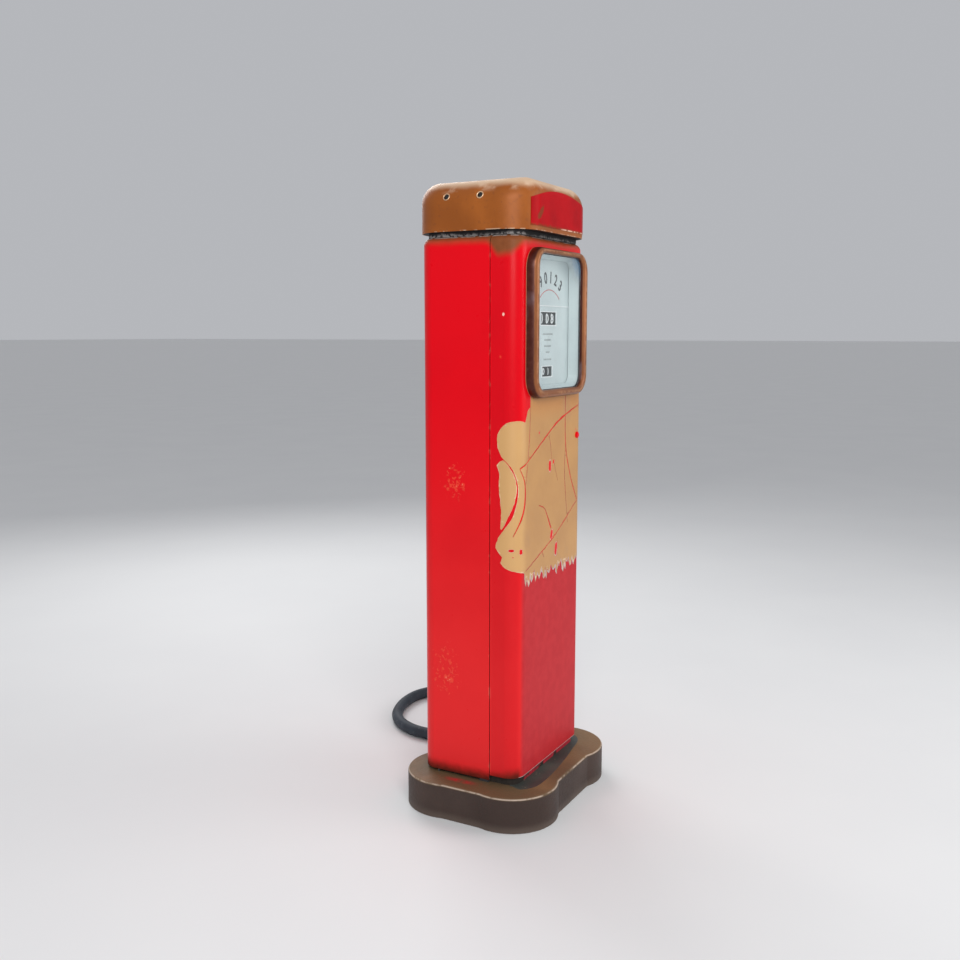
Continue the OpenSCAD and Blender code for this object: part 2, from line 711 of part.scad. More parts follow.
module nozzle_lever() color(steel) translate([286, side_y, 977]) {
  rod([0, -9.9, 0], [0, 9.9, 0], 3);
  rotate([0, 10, 0]) {
    block([-2.5, -5.8, -110], [2.5, 5.8, 5]);
    rod([0, -5.8, -110], [0, 5.8, -110], 3.5);
  }
}

module nozzle_boot() color(aluminium) difference() {
  union() {
    block([body_hx, side_y - 38, pocket_z[0] - 14], [231.5, side_y + 38, pocket_z[1] + 14]);
    block([pocket_x - 3, side_y - pocket_hy - 3, pocket_z[0] - 3],
      [body_hx + eps, side_y + pocket_hy + 3, pocket_z[1] + 3]);
  }
  block([pocket_x, side_y - pocket_hy, pocket_z[0]], [240, side_y + pocket_hy, pocket_z[1]]);
}

module nozzle_fork() color(aluminium) {
  block([body_hx, side_y - 38, 955], [231.5, side_y + 38, 1060]);
  for (y = [-34, 21]) {
    block([231.5, side_y + y, fork_z - 12], [nozzle_x + 16, side_y + y + 13, fork_z]);
    block([231.5, side_y + y + 3, fork_z - 34], [262, side_y + y + 10, fork_z - 12]);
  }
}

// ---- cap ----

function cap_top(x) = cap_peak - cap_sag * pow(abs(x) / cap_hx, 2.4);

// One ring of the cap's surface: an inset, a scale towards the middle, and heights measured
// down from the arch, or from the rim where level is given.
function cap_ring(d, s, drop, skin, level) =
  let (mid = (cap_front + cap_back) / 2)
    [for (p = round_rect(-cap_hx + d, cap_hx - d, cap_front + d, cap_back - d, cap_r - d))
      let (x = p.x * s, y = mid + (p.y - mid) * s)
        [x, y, is_undef(level) ? cap_top(x) - drop - skin : level]];

module cap_solid(skin, z0) loft(concat(
  [cap_ring(skin, 1, 0, 0, z0)],
  [for (a = [0 : 11.25 : 90])
    cap_ring(skin + (cap_edge - skin) * (1 - cos(a)), 1, (cap_edge - skin) * (1 - sin(a)), skin)],
  [for (s = [0.7, 0.4]) cap_ring(cap_edge, s, 0, skin)],
  [cap_ring(cap_edge, 0.12, 0, skin, cap_peak - skin)]));

module cap() color(copper) difference() {
  cap_solid(0, cap_z0);
  cap_solid(cap_skin, cap_z0 - 1);
  for (y = screw_y) rod([-240, y, screw_z], [240, y, screw_z], 8);
}

// Red panel on the front of the cap: a thin layer of the cap's own surface within an arched outline.
module cap_insert() color(red) intersection() {
  difference() {
    cap_solid(-1.5, cap_z0);
    cap_solid(0, cap_z0 - 1);
  }
  facing(120) linear_extrude(60) polygon(concat([[-insert_hx, insert_z0], [insert_hx, insert_z0]],
    [for (f = [1 : -0.125 : -1]) [insert_hx * f, insert_z0 + insert_h - 29 * f * f]]));
}

module cap_screws() color(steel) mirrored_x() for (y = screw_y) {
  rod([206, y, screw_z], [222, y, screw_z], 3.5);
  rod([219, y, screw_z], [223.5, y, screw_z], 6.5);
}

base_casting();
anchor_frame();
plinth();
frame_posts();
machine_shelf();
meter_shelf();
register_shelf();
rear_shell();
neck_frame();
cap();
cap_insert();
cap_screws();
hinge_brackets();
lock_keeper();
door_panel();
door_lugs();
bezel();
glass();
glass_gasket();
dial_surround();
cover_lock();
dial_plate();
register_frame();
register_gearbox();
sale_wheel(0);  // sale_wheel_1
sale_wheel(1);  // sale_wheel_2
sale_wheel(2);  // sale_wheel_3
volume_wheel(0);  // volume_wheel_1
volume_wheel(1);  // volume_wheel_2
meter_shaft();
dial_lamp();
motor();
motor_pulley();
drive_belt();
pump_unit();
pump_pulley();
strainer_plug();
air_separator();
meter();
suction_pipe();
delivery_pipe();
junction_box();
conduits();
switch_box();
switch_lever();
reset_bushing();
reset_knob();
outlet_elbow();
outlet_ferrule();
hose();
nozzle_ferrule();
nozzle_body();
nozzle_spout();
nozzle_guard();
nozzle_lever();
nozzle_boot();
nozzle_fork();
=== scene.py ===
"""Looks of the petrol pump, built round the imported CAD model. Lengths are metres in the row frame."""
import math
import random

import bmesh
import bpy
import numpy as np
from mathutils import Euler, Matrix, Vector
from mathutils.geometry import delaunay_2d_cdt


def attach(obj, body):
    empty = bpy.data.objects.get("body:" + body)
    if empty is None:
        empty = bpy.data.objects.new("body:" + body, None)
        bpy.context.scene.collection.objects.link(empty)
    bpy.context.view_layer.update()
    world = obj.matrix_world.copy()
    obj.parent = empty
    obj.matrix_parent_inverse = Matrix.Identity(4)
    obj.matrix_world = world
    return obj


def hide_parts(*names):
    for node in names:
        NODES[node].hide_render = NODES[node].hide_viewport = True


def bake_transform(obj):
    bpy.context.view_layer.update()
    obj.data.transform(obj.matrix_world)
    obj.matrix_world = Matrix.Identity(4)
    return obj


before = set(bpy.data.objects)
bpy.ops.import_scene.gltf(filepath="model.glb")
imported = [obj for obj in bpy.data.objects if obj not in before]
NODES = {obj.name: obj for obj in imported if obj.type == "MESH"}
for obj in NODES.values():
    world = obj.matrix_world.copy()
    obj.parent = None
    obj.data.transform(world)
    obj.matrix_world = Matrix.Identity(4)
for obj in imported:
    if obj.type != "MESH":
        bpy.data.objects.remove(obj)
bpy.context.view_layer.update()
MM = 0.001
SCENE = bpy.context.scene

# The cabinet's outside: half width, front, back, corner radius, top, and the front cover's foot.
BODY_HX, BODY_FRONT, BODY_BACK, BODY_R = 226.5, -147, 182, 49
BODY_TOP, COVER_FOOT = 1702, 130
SEAM_Y = -54.5  # the cover and the rear shell meet here

# ---- camera ----

SCENE.view_settings.view_transform = "Standard"
eye = bpy.data.cameras.new("eye")
eye.lens, eye.sensor_width = 39.52, 36.0
camera = bpy.data.objects.new("camera", eye)
camera.location = (-2.853, -1.468, 1.4314)
camera.rotation_euler = Euler((math.radians(82.075), 0.0, math.radians(-61.18)))
SCENE.collection.objects.link(camera)
SCENE.camera = camera

# ---- mesh helpers ----


def smooth(mesh, angle):
    mesh.shade_smooth()
    mesh.set_sharp_from_angle(angle=math.radians(angle))


def raw_object(name, verts, faces):
    """An object from a mesh given in millimetres, its faces turned outwards."""
    mesh = bpy.data.meshes.new(name)
    mesh.from_pydata([Vector(v) * MM for v in verts], [], faces)
    bm = bmesh.new()
    bm.from_mesh(mesh)
    bmesh.ops.recalc_face_normals(bm, faces=bm.faces)
    bm.to_mesh(mesh)
    bm.free()
    obj = bpy.data.objects.new(name, mesh)
    SCENE.collection.objects.link(obj)
    return obj


def piece(obj, body, finish, stands_for=(), angle=35, bevel=0.0):
    """Finishes an object as a piece of the pump that rides on a body."""
    obj.data.materials.clear()
    obj.data.materials.append(finish)
    smooth(obj.data, angle)
    if bevel:
        soften_edges(obj, bevel)
    if body:
        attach(obj, body)
    if stands_for:
        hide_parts(*stands_for)
    return obj


def soften_edges(obj, width):
    mod = obj.modifiers.new("edges", "BEVEL")
    mod.width, mod.segments = width * MM, 2
    mod.limit_method, mod.angle_limit = "ANGLE", math.radians(40)
    mod.harden_normals = True


def loft(rings, loop=False):
    """Vertices and faces of a skin through rings, closed into a frame or by its two ends."""
    n, count = len(rings[0]), len(rings)
    faces = []
    for i in range(count if loop else count - 1):
        a, b = i * n, (i + 1) % count * n
        faces += [(a + j, a + (j + 1) % n, b + (j + 1) % n, b + j) for j in range(n)]
    if not loop:
        faces += [tuple(range(n)), tuple(range((count - 1) * n, count * n))]
    return [p for ring in rings for p in ring], faces


def arc(cx, cy, r, a0, a1, steps):
    turn = [math.radians(a0 + (a1 - a0) * i / steps) for i in range(steps + 1)]
    return [(cx + r * math.cos(a), cy + r * math.sin(a)) for a in turn]


def round_rect(x0, x1, y0, y1, r, steps=20):
    return (arc(x1 - r, y1 - r, r, 0, 90, steps) + arc(x0 + r, y1 - r, r, 90, 180, steps)
            + arc(x0 + r, y0 + r, r, 180, 270, steps) + arc(x1 - r, y0 + r, r, 270, 360, steps))


def at_height(points, z):
    return [(x, y, z) for x, y in points]


def facing(points, w):
    """Points drawn in x and height, at a distance in front of y = 0."""
    return [(x, -w, z) for x, z in points]


def box(a, b):
    return ([(x, y, z) for x in (a[0], b[0]) for y in (a[1], b[1]) for z in (a[2], b[2])],
            [(0, 1, 3, 2), (4, 5, 7, 6), (0, 1, 5, 4), (2, 3, 7, 6), (0, 2, 6, 4), (1, 3, 7, 5)])


def turned(profile, start, along, sides):
    """A turned part: radius and distance along an axis from a start point."""
    along = Vector(along).normalized()
    side = along.orthogonal().normalized()
    up = along.cross(side)
    turn = [2 * math.pi * j / sides for j in range(sides)]
    return loft([[Vector(start) + along * h + r * (math.cos(a) * side + math.sin(a) * up)
                  for a in turn] for r, h in profile])


def joined(*shapes):
    verts, faces = [], []
    for v, f in shapes:
        faces += [tuple(i + len(verts) for i in face) for face in f]
        verts += v
    return verts, faces


def carve(obj, steps):
    """Applies boolean steps, each an operation and the vertices and faces of its tool."""
    tools = []
    for operation, shape in steps:
        tool = raw_object("tool", *shape)
        mod = obj.modifiers.new("carve", "BOOLEAN")
        mod.operation, mod.object, mod.solver = operation, tool, "EXACT"
        tools.append(tool)
    bpy.context.view_layer.update()
    shaped = bpy.data.meshes.new_from_object(
        obj.evaluated_get(bpy.context.evaluated_depsgraph_get()))
    obj.modifiers.clear()
    obj.data = shaped
    for tool in tools:
        bpy.data.objects.remove(tool)


# ---- procedural finishes ----


def rgb(r, g, b):
    """A colour given as it looks on screen, 0 to 255."""
    def linear(c):
        c /= 255
        return c / 12.92 if c <= 0.04045 else ((c + 0.055) / 1.055) ** 2.4
    return (linear(r), linear(g), linear(b), 1.0)


class Finish:
    """Builds one material from the position on the object."""

    def __init__(self, name, **sockets):
        self.material = bpy.data.materials.new(name)
        self.material.use_nodes = True
        self.tree = self.material.node_tree
        self.shader = self.tree.nodes["Principled BSDF"]
        for key, value in sockets.items():
            self.shader.inputs[key.replace("_", " ")].default_value = value
        self.where = self.node("TexCoord").outputs["Object"]
        self.x, self.y, self.z = self.node("SeparateXYZ", {0: self.where}).outputs

    def node(self, kind, inputs=None, **properties):
        made = self.tree.nodes.new("ShaderNode" + kind)
        for key, value in properties.items():
            setattr(made, key, value)
        for key, value in (inputs or {}).items():
            self.feed(made.inputs[key], value)
        return made

    def feed(self, socket, value):
        if isinstance(value, bpy.types.NodeSocket):
            self.tree.links.new(value, socket)
        else:
            socket.default_value = value

    def stretched(self, by):
        return self.node("VectorMath", {0: self.where, 1: by}, operation="MULTIPLY").outputs[0]

    def noise(self, scale, detail=4.0, by=None, warp=0.0):
        vector = self.where if by is None else self.stretched(by)
        return self.node("TexNoise", {"Vector": vector, "Scale": scale, "Detail": detail,
                                      "Distortion": warp}).outputs[0]

    def cells(self, scale):
        return self.node("TexVoronoi", {"Vector": self.where, "Scale": scale}).outputs["Distance"]

    def calc(self, operation, a, b=0.0):
        return self.node("Math", {0: a, 1: b}, operation=operation).outputs[0]

    def times(self, *values):
        out = values[0]
        for value in values[1:]:
            out = self.calc("MULTIPLY", out, value)
        return out

    def plus(self, *values):
        out = values[0]
        for value in values[1:]:
            out = self.calc("ADD", out, value)
        return out

    def ramp(self, value, low, high, bottom=0.0, top=1.0):
        return self.node("MapRange", {"Value": value, "From Min": low, "From Max": high,
                                      "To Min": bottom, "To Max": top},
                         interpolation_type="SMOOTHSTEP").outputs[0]

    def near(self, value, middle, reach):
        """1 at a value's middle, falling to 0 at a reach from it."""
        return self.ramp(self.calc("ABSOLUTE", self.calc("SUBTRACT", value, middle)), reach, 0.0)

    def side_spot(self, y, z, wide, tall):
        """1 at a place on the cabinet's side, falling to 0 round it."""
        return self.times(self.near(self.y, y, wide), self.near(self.z, z, tall))

    def mix(self, factor, a, b):
        return self.node("Mix", {0: factor, 6: a, 7: b}, data_type="RGBA").outputs[2]

    def attribute(self, name):
        return self.node("Attribute", attribute_name=name).outputs["Fac"]

    def done(self, color, rough=None, height=None, depth=0.0002, metal=None, alpha=None):
        self.feed(self.shader.inputs["Base Color"], color)
        for key, value in (("Roughness", rough), ("Metallic", metal), ("Alpha", alpha)):
            if value is not None:
                self.feed(self.shader.inputs[key], value)
        if height is not None:
            bump = self.node("Bump", {"Height": height, "Distance": depth, "Strength": 1.0})
            self.feed(self.shader.inputs["Normal"], bump.outputs[0])
        return self.material


def within_cabinet(f):
    """1 on the inner faces of the cabinet's sheet and 0 on its outside."""
    mid, half = (BODY_FRONT + BODY_BACK) / 2, (BODY_BACK - BODY_FRONT) / 2
    past_x = f.plus(f.calc("ABSOLUTE", f.x), (BODY_R - BODY_HX) * MM)
    past_y = f.plus(f.calc("ABSOLUTE", f.plus(f.y, -mid * MM)), (BODY_R - half) * MM)
    past_x, past_y = f.calc("MAXIMUM", past_x, 0.0), f.calc("MAXIMUM", past_y, 0.0)
    out = f.calc("SQRT", f.plus(f.times(past_x, past_x), f.times(past_y, past_y)))
    below_shoulder = f.ramp(f.z, (BODY_TOP - 19) * MM, (BODY_TOP - 24) * MM)
    return f.times(f.ramp(out, (BODY_R - 0.4) * MM, (BODY_R - 1.2) * MM), below_shoulder)


def red_paint():
    """Old red gloss paint: faded low down, rusty at the top edge, sooty at the bottom with painted
    shade there, chipped, with painted highlights along the top edge and the cover's foot.
    """
    f = Finish("red_gloss", Specular_IOR_Level=0.14, Coat_Weight=0.03, Coat_Roughness=0.08)
    crest, foot = BODY_TOP * MM, COVER_FOOT * MM
    cloud = f.noise(2.6, 5)
    fine = f.noise(38, 5)
    color = f.mix(f.ramp(f.z, 0.35, 1.3), rgb(232, 38, 40), rgb(230, 0, 20))
    color = f.mix(f.times(f.ramp(cloud, 0.42, 0.7), 0.3), color, rgb(204, 2, 20))
    turn = f.times(f.ramp(f.y, -0.052, -0.066), f.ramp(f.y, -0.146, -0.132))
    color = f.mix(f.times(turn, 0.35), color, rgb(196, 4, 22))
    streak = f.noise(30, 4, by=(1.0, 1.0, 0.3))
    faded = f.times(f.ramp(f.y, -0.141, -0.1468), f.ramp(f.z, 0.80, 0.72),
                    f.ramp(streak, 0.25, 0.6, 0.92, 1.0))
    color = f.mix(faded, color, f.mix(f.ramp(fine, 0.3, 0.75), rgb(190, 34, 42), rgb(198, 46, 52)))
    # Darker brown towards the foot of the sides: soot, and painted shade where the cabinet meets the
    # base.
    soot_and_shade_top = f.plus(f.z, f.times(f.ramp(f.y, -0.056, -0.13), -0.016), f.times(fine, 0.016))
    soot_and_shade = f.times(f.ramp(soot_and_shade_top, 0.160, 0.122), f.ramp(f.y, -0.1465, -0.138))
    color = f.mix(f.times(soot_and_shade, 0.92), color, f.mix(fine, rgb(52, 22, 12), rgb(92, 36, 18)))
    corner = f.times(f.ramp(f.near(f.y, -0.100, 0.07), 0.0, 0.9), f.ramp(f.x, -0.13, -0.18))
    top = f.plus(f.z, f.times(corner, 0.036), f.times(f.noise(9, 4), 0.02))
    rust = f.ramp(top, crest - 0.022, crest + 0.010)
    color = f.mix(rust, color, f.mix(fine, rgb(112, 58, 28), rgb(150, 88, 50)))
    # Pale flecks along the top edge: chalky wear, and a painted highlight on the rounded shoulder.
    top_flecks_and_highlight = f.times(f.ramp(f.z, crest - 0.005, crest - 0.001), f.ramp(f.noise(70, 4), 0.4, 0.56))
    color = f.mix(top_flecks_and_highlight, color, rgb(196, 192, 188))
    seam = f.times(f.near(f.y, (SEAM_Y + 0.2) * MM, 0.005), f.ramp(f.noise(60, 4), 0.52, 0.68))
    color = f.mix(f.times(seam, 0.8), color, rgb(232, 108, 92))
    left = f.ramp(f.x, -0.220, -0.225)
    pocks = f.plus(f.side_spot(0.060, 1.005, 0.07, 0.085), f.side_spot(0.095, 0.435, 0.07, 0.13))
    pebble = f.plus(f.noise(95, 4, warp=0.5), f.times(f.ramp(pocks, 0.0, 0.7), 0.13))
    outer = f.ramp(f.x, -0.2250, -0.2256)
    pimple = f.times(outer, f.side_spot(-0.088, 1.366, 0.005, 0.006))
    blister = f.plus(f.times(left, f.ramp(pocks, 0.0, 0.3), f.ramp(pebble, 0.66, 0.74)), pimple)
    color = f.mix(f.times(blister, 0.4), color, rgb(252, 100, 68))
    bare = f.times(left, f.ramp(pocks, 0.0, 0.3), f.ramp(pebble, 0.84, 0.85))
    spot = f.times(outer, f.side_spot(-0.097, 1.484, 0.006, 0.008))
    nick = f.times(f.ramp(spot, 0.0, 0.1), f.ramp(f.plus(spot, f.noise(190, 2)), 0.80, 0.86))
    chips = f.calc("MAXIMUM", bare, nick)
    color = f.mix(chips, color, rgb(250, 196, 178))
    within = within_cabinet(f)
    grime = f.ramp(f.noise(11, 6), 0.4, 0.7)
    color = f.mix(within, color, f.mix(grime, rgb(122, 34, 32), rgb(88, 40, 34)))
    # Painted highlight: a pale line along the front cover's bottom edge.
    foot_highlight = f.times(f.ramp(f.z, foot + 0.0022, foot + 0.0012),
                         f.ramp(f.z, foot - 0.001, foot - 0.0005), f.ramp(f.y, -0.138, -0.1435))
    color = f.mix(foot_highlight, color, rgb(190, 182, 178))
    rough = f.plus(0.24, f.times(fine, 0.12), f.times(soot_and_shade, 0.4), f.times(rust, 0.25),
                   f.times(faded, 0.25), f.times(within, 0.25))
    height = f.plus(f.times(f.noise(3.5, 2), 1.6), f.times(f.noise(260, 2), 0.05),
                    f.times(chips, -0.5), f.times(blister, 0.9), f.times(rust, fine, 0.6))
    return f.done(color, rough, height, 0.0006)


def cap_red():
    """Red paint of the cap's panel, rubbed through to brown near its left end and its edges."""
    f = Finish("cap_panel_red", Specular_IOR_Level=0.05, Coat_Weight=0.02, Coat_Roughness=0.15)
    cloud = f.noise(9, 5)
    fine = f.noise(60, 5)
    color = f.mix(f.ramp(cloud, 0.35, 0.7), rgb(184, 0, 14), rgb(162, 0, 12))
    scuff_x, scuff_z, slant = -0.135, 1.765, 0.7
    lean = f.plus(f.x, f.times(f.z, -slant))
    scuff = f.times(f.near(lean, scuff_x - slant * scuff_z, 0.02), f.near(f.z, scuff_z, 0.035))
    worn = f.ramp(f.plus(scuff, f.times(fine, 0.7)), 0.66, 0.92)
    edge = f.ramp(f.plus(f.z, f.times(fine, 0.022)), 1.748, 1.738)
    color = f.mix(f.times(f.calc("MAXIMUM", worn, edge), 0.8), color, rgb(122, 62, 30))
    pale = f.times(f.ramp(f.z, 1.733, 1.730), f.ramp(f.x, -0.02, 0.03), f.ramp(fine, 0.4, 0.55))
    color = f.mix(pale, color, rgb(224, 186, 160))
    return f.done(color, f.plus(0.3, f.times(fine, 0.15)), f.plus(cloud, f.times(fine, 0.2)), 0.0005)


def under_cover():
    """Dark sooty paint below the front cover with red left along the front."""
    f = Finish("plinth_sooty", Specular_IOR_Level=0.2)
    cloud = f.noise(14, 5)
    fine = f.noise(80, 5)
    color = f.mix(fine, rgb(38, 34, 32), rgb(62, 56, 50))
    red = f.times(f.ramp(f.y, -0.12, -0.13), f.ramp(f.plus(cloud, f.times(f.x, 0.8)), 0.46, 0.54))
    color = f.mix(red, color, f.mix(fine, rgb(150, 16, 28), rgb(214, 60, 76)))
    return f.done(color, f.plus(0.45, f.times(fine, 0.2)), fine, 0.0004)


def neck_dirt():
    """Black neck below the cap with chalky dirt caught along its foot."""
    f = Finish("neck_chalky", Specular_IOR_Level=0.2)
    cloud = f.noise(22, 5)
    fine = f.noise(110, 5)
    color = f.mix(fine, rgb(26, 26, 28), rgb(48, 46, 46))
    low = f.plus(f.z, f.times(cloud, 0.022))
    chalk = f.times(f.ramp(low, 1.722, 1.714), f.ramp(fine, 0.38, 0.56))
    color = f.mix(f.times(chalk, 0.75), color, f.mix(cloud, rgb(168, 164, 162), rgb(118, 110, 106)))
    return f.done(color, f.plus(0.55, f.times(fine, 0.2)), f.plus(fine, f.times(chalk, 0.5)), 0.0006)


def cream_paint():
    """Thick cream paint over the red, browned at the top and pale where it broke off, with a painted
    highlight along its edges and painted shade along its scratches.
    """
    f = Finish("cream_flaking", Coat_Weight=0.15, Coat_Roughness=0.2)
    cloud = f.noise(6, 5)
    fine = f.noise(90, 5)
    color = f.mix(f.ramp(cloud, 0.3, 0.7), rgb(200, 148, 86), rgb(190, 138, 80))
    color = f.mix(f.times(f.ramp(f.z, 1.17, 1.235), 0.65), color, rgb(196, 128, 60))
    color = f.mix(f.times(f.ramp(f.x, -0.17, -0.2), 0.55), color, rgb(216, 172, 114))
    stain = f.times(f.ramp(f.noise(9, 4, by=(1, 1, 0.5)), 0.58, 0.72), 0.5)
    color = f.mix(stain, color, rgb(180, 134, 88))
    # Pale outline: paint broken off, and a painted highlight on the thick edge.
    rim = f.times(f.ramp(f.attribute("rim"), 0.6, 0.95), f.ramp(f.noise(28, 3), 0.45, 0.62))
    color = f.mix(f.times(rim, 0.7), color, rgb(240, 216, 180))
    # Painted shade: dark red along the edges of the scratches.
    cut = f.times(f.ramp(f.attribute("cut"), 0.8, 0.98), f.ramp(f.noise(20, 3), 0.36, 0.6, 0.3, 0.8))
    color = f.mix(cut, color, rgb(150, 44, 26))
    height = f.plus(f.times(cloud, 0.8), f.times(fine, 0.12))
    return f.done(color, f.plus(0.34, f.times(fine, 0.15)), height, 0.0005)


def primer():
    """Chalky undercoat seen along the broken edges."""
    f = Finish("primer_chalk")
    fine = f.noise(120, 5)
    color = f.mix(f.ramp(fine, 0.35, 0.65), rgb(222, 190, 168), rgb(205, 150, 140))
    color = f.mix(f.ramp(f.z, 0.80, 0.74), color, f.mix(fine, rgb(214, 206, 202), rgb(170, 140, 138)))
    return f.done(color, f.plus(0.6, f.times(fine, 0.2)), fine, 0.0004)


def bronze(name, light, dark, rough, shine, marks, gloss):
    """Bronze-coloured paint, mottled and finely brushed, with marks of its own."""
    f = Finish(name, Specular_IOR_Level=gloss)
    cloud = f.noise(5, 6, warp=0.6)
    fine = f.noise(70, 5)
    brushed = f.noise(60, 3, by=(0.15, 1.0, 1.0))
    color = f.mix(f.ramp(cloud, 0.3, 0.72), dark, light)
    color = f.mix(f.times(f.ramp(fine, 0.56, 0.74), 0.35), color, rgb(112, 60, 30))
    color = marks(f, color, fine)
    rough_out = f.plus(rough, f.times(cloud, 0.12), f.times(fine, 0.1))
    height = f.plus(f.times(cloud, 1.2), f.times(brushed, 0.12), f.times(fine, 0.2))
    return f.done(color, rough_out, height, 0.0005, metal=f.ramp(fine, 0.75, 0.4, shine / 2, shine))


def no_marks(f, color, fine):
    """Leaves the bronze as it is."""
    return color


def cap_marks(f, color, fine):
    """Crown made paler as a painted highlight, a painted reflection along the shoulder, and a few nicks
    at the rim.
    """
    # Painted highlight: the crown is paler where light falls on it.
    crown = f.ramp(f.plus(f.z, f.times(f.noise(12, 4), 0.02)), 1.838, 1.862)
    crown_highlight = f.times(crown, f.ramp(f.noise(6, 6), 0.3, 0.7, 0.98, 0.55))
    color = f.mix(crown_highlight, color, rgb(232, 200, 166))
    # Painted reflection: pale streaks along the shoulder.
    shoulder_reflection = f.times(f.near(f.z, 1.836, 0.02), f.ramp(f.noise(18, 5), 0.52, 0.66))
    color = f.mix(f.times(shoulder_reflection, 0.55), color, rgb(236, 206, 176))
    nicks = f.times(f.near(f.z, 1.7165, 0.003), f.ramp(f.noise(55, 4), 0.46, 0.6))
    return f.mix(nicks, color, rgb(206, 170, 140))


def bezel_marks(f, color, fine):
    """Sides darkened to maroon with grey patches as a painted reflection, a bright lip at the foot, and
    rubbed high spots with a painted highlight.
    """
    # Painted reflection: the side walls are darkened to maroon, with grey patches.
    side = f.ramp(f.plus(f.y, f.times(fine, 0.003)), -0.1725, -0.167)
    color = f.mix(side, color, f.mix(fine, rgb(58, 16, 8), rgb(88, 36, 20)))
    grey_reflection = f.times(side, f.ramp(f.noise(9, 3), 0.58, 0.70), 0.35)
    color = f.mix(grey_reflection, color, rgb(142, 124, 130))
    lip = f.near(f.y, -0.1478, 0.0018)
    color = f.mix(lip, color, rgb(196, 140, 104))
    # Rubbed high spots along the crest, with a painted highlight there.
    high = f.times(f.near(f.y, -0.1785, 0.0018), f.ramp(fine, 0.42, 0.6), 0.5)
    return f.mix(high, color, rgb(206, 152, 106))


def cast_iron_base():
    """Rough casting, painted dark brown, lighter on top, with a pale rim that is worn paint and a
    painted highlight.
    """
    f = Finish("cast_base_brown", Specular_IOR_Level=0.3)
    cloud = f.noise(4.5, 6)
    grit = f.noise(130, 6)
    pits = f.ramp(f.cells(210), 0.05, 0.3)
    side = f.mix(f.ramp(cloud, 0.35, 0.7), rgb(60, 46, 40), rgb(74, 59, 52))
    top = f.mix(f.ramp(cloud, 0.4, 0.65), rgb(104, 82, 58), rgb(128, 100, 68))
    color = f.mix(f.ramp(f.z, 0.097, 0.1045), side, top)
    # Pale rim along the rounded top edge: worn paint and a painted highlight.
    rim = f.times(f.near(f.z, 0.1028, 0.0028), f.ramp(f.noise(24, 5), 0.36, 0.5))
    color = f.mix(f.times(rim, 0.8), color, rgb(204, 184, 166))
    shade = f.times(f.near(f.x, 0.0, 0.262), f.near(f.y, 0.01, 0.21), f.ramp(f.z, 0.1, 0.105))
    color = f.mix(f.times(f.ramp(shade, 0.02, 0.12), 0.7), color, rgb(58, 48, 40))
    smear = f.times(f.near(f.x, -0.255, 0.018), f.near(f.y, 0.03, 0.07), f.ramp(f.z, 0.1, 0.104),
                    f.ramp(f.noise(30, 4), 0.34, 0.5))
    color = f.mix(smear, color, rgb(188, 40, 48))
    dust = f.times(f.ramp(f.z, 0.03, 0.0), 0.5)
    color = f.mix(dust, color, rgb(112, 98, 88))
    rough = f.plus(0.42, f.times(grit, 0.25), f.times(rim, -0.1))
    height = f.plus(f.times(grit, 0.7), f.times(pits, 0.35), f.times(cloud, 1.5))
    return f.done(color, rough, height, 0.0011)


def enamel(name, light, dark):
    """Fired white or grey enamel, faintly clouded and stained."""
    f = Finish(name, Coat_Weight=0.3, Coat_Roughness=0.15)
    cloud = f.noise(7, 5)
    fine = f.noise(150, 4)
    color = f.mix(f.ramp(cloud, 0.35, 0.7), light, dark)
    stain = f.times(f.ramp(f.noise(22, 6, warp=1.0), 0.62, 0.78), 0.4)
    color = f.mix(stain, color, rgb(158, 160, 148))
    height = f.plus(f.times(cloud, 0.6), f.times(fine, 0.1))
    return f.done(color, f.plus(0.3, f.times(fine, 0.12)), height, 0.0003)


def metal(name, light, dark, rough, grain=(1, 1, 1)):
    """Bare or plated metal with directional grain and grime."""
    f = Finish(name, Metallic=1.0)
    cloud = f.noise(11, 5)
    lines = f.noise(140, 4, by=grain)
    color = f.mix(f.ramp(lines, 0.3, 0.7), light, dark)
    color = f.mix(f.times(f.ramp(cloud, 0.52, 0.74), 0.6), color, rgb(60, 50, 42))
    return f.done(color, f.plus(rough, f.times(lines, 0.16), f.times(cloud, 0.1)),
                  f.plus(f.times(lines, 0.3), f.times(cloud, 0.6)), 0.0002)


def shop_paint(name, light, dark, chip, rough=0.45):
    """Machine paint over metal with oily patches and small chips."""
    f = Finish(name, Coat_Weight=0.1, Coat_Roughness=0.3)
    cloud = f.noise(8, 6)
    fine = f.noise(95, 5)
    color = f.mix(f.ramp(cloud, 0.35, 0.68), light, dark)
    chips = f.times(f.ramp(f.cells(70), 0.2, 0.14), f.ramp(f.noise(14, 3), 0.54, 0.6))
    color = f.mix(chips, color, chip)
    rough_out = f.plus(rough, f.times(fine, 0.2), f.times(f.ramp(cloud, 0.5, 0.7), -0.15))
    return f.done(color, rough_out, f.plus(f.times(fine, 0.5), f.times(chips, -0.6)), 0.0003)


def rubber(name, light, dark, by=(1, 1, 1), rough=0.55):
    """Weathered rubber with a dusty bloom and fine scuffs."""
    f = Finish(name, Specular_IOR_Level=0.35)
    cloud = f.noise(13, 6, by=by)
    fine = f.noise(420, 3)
    color = f.mix(f.ramp(cloud, 0.35, 0.7), dark, light)
    scuff = f.times(f.ramp(f.noise(75, 5), 0.6, 0.72), 0.45)
    color = f.mix(scuff, color, rgb(104, 108, 112))
    return f.done(color, f.plus(rough, f.times(fine, 0.15), f.times(scuff, 0.2)),
                  f.plus(f.times(fine, 0.3), f.times(cloud, 0.5)), 0.0004)


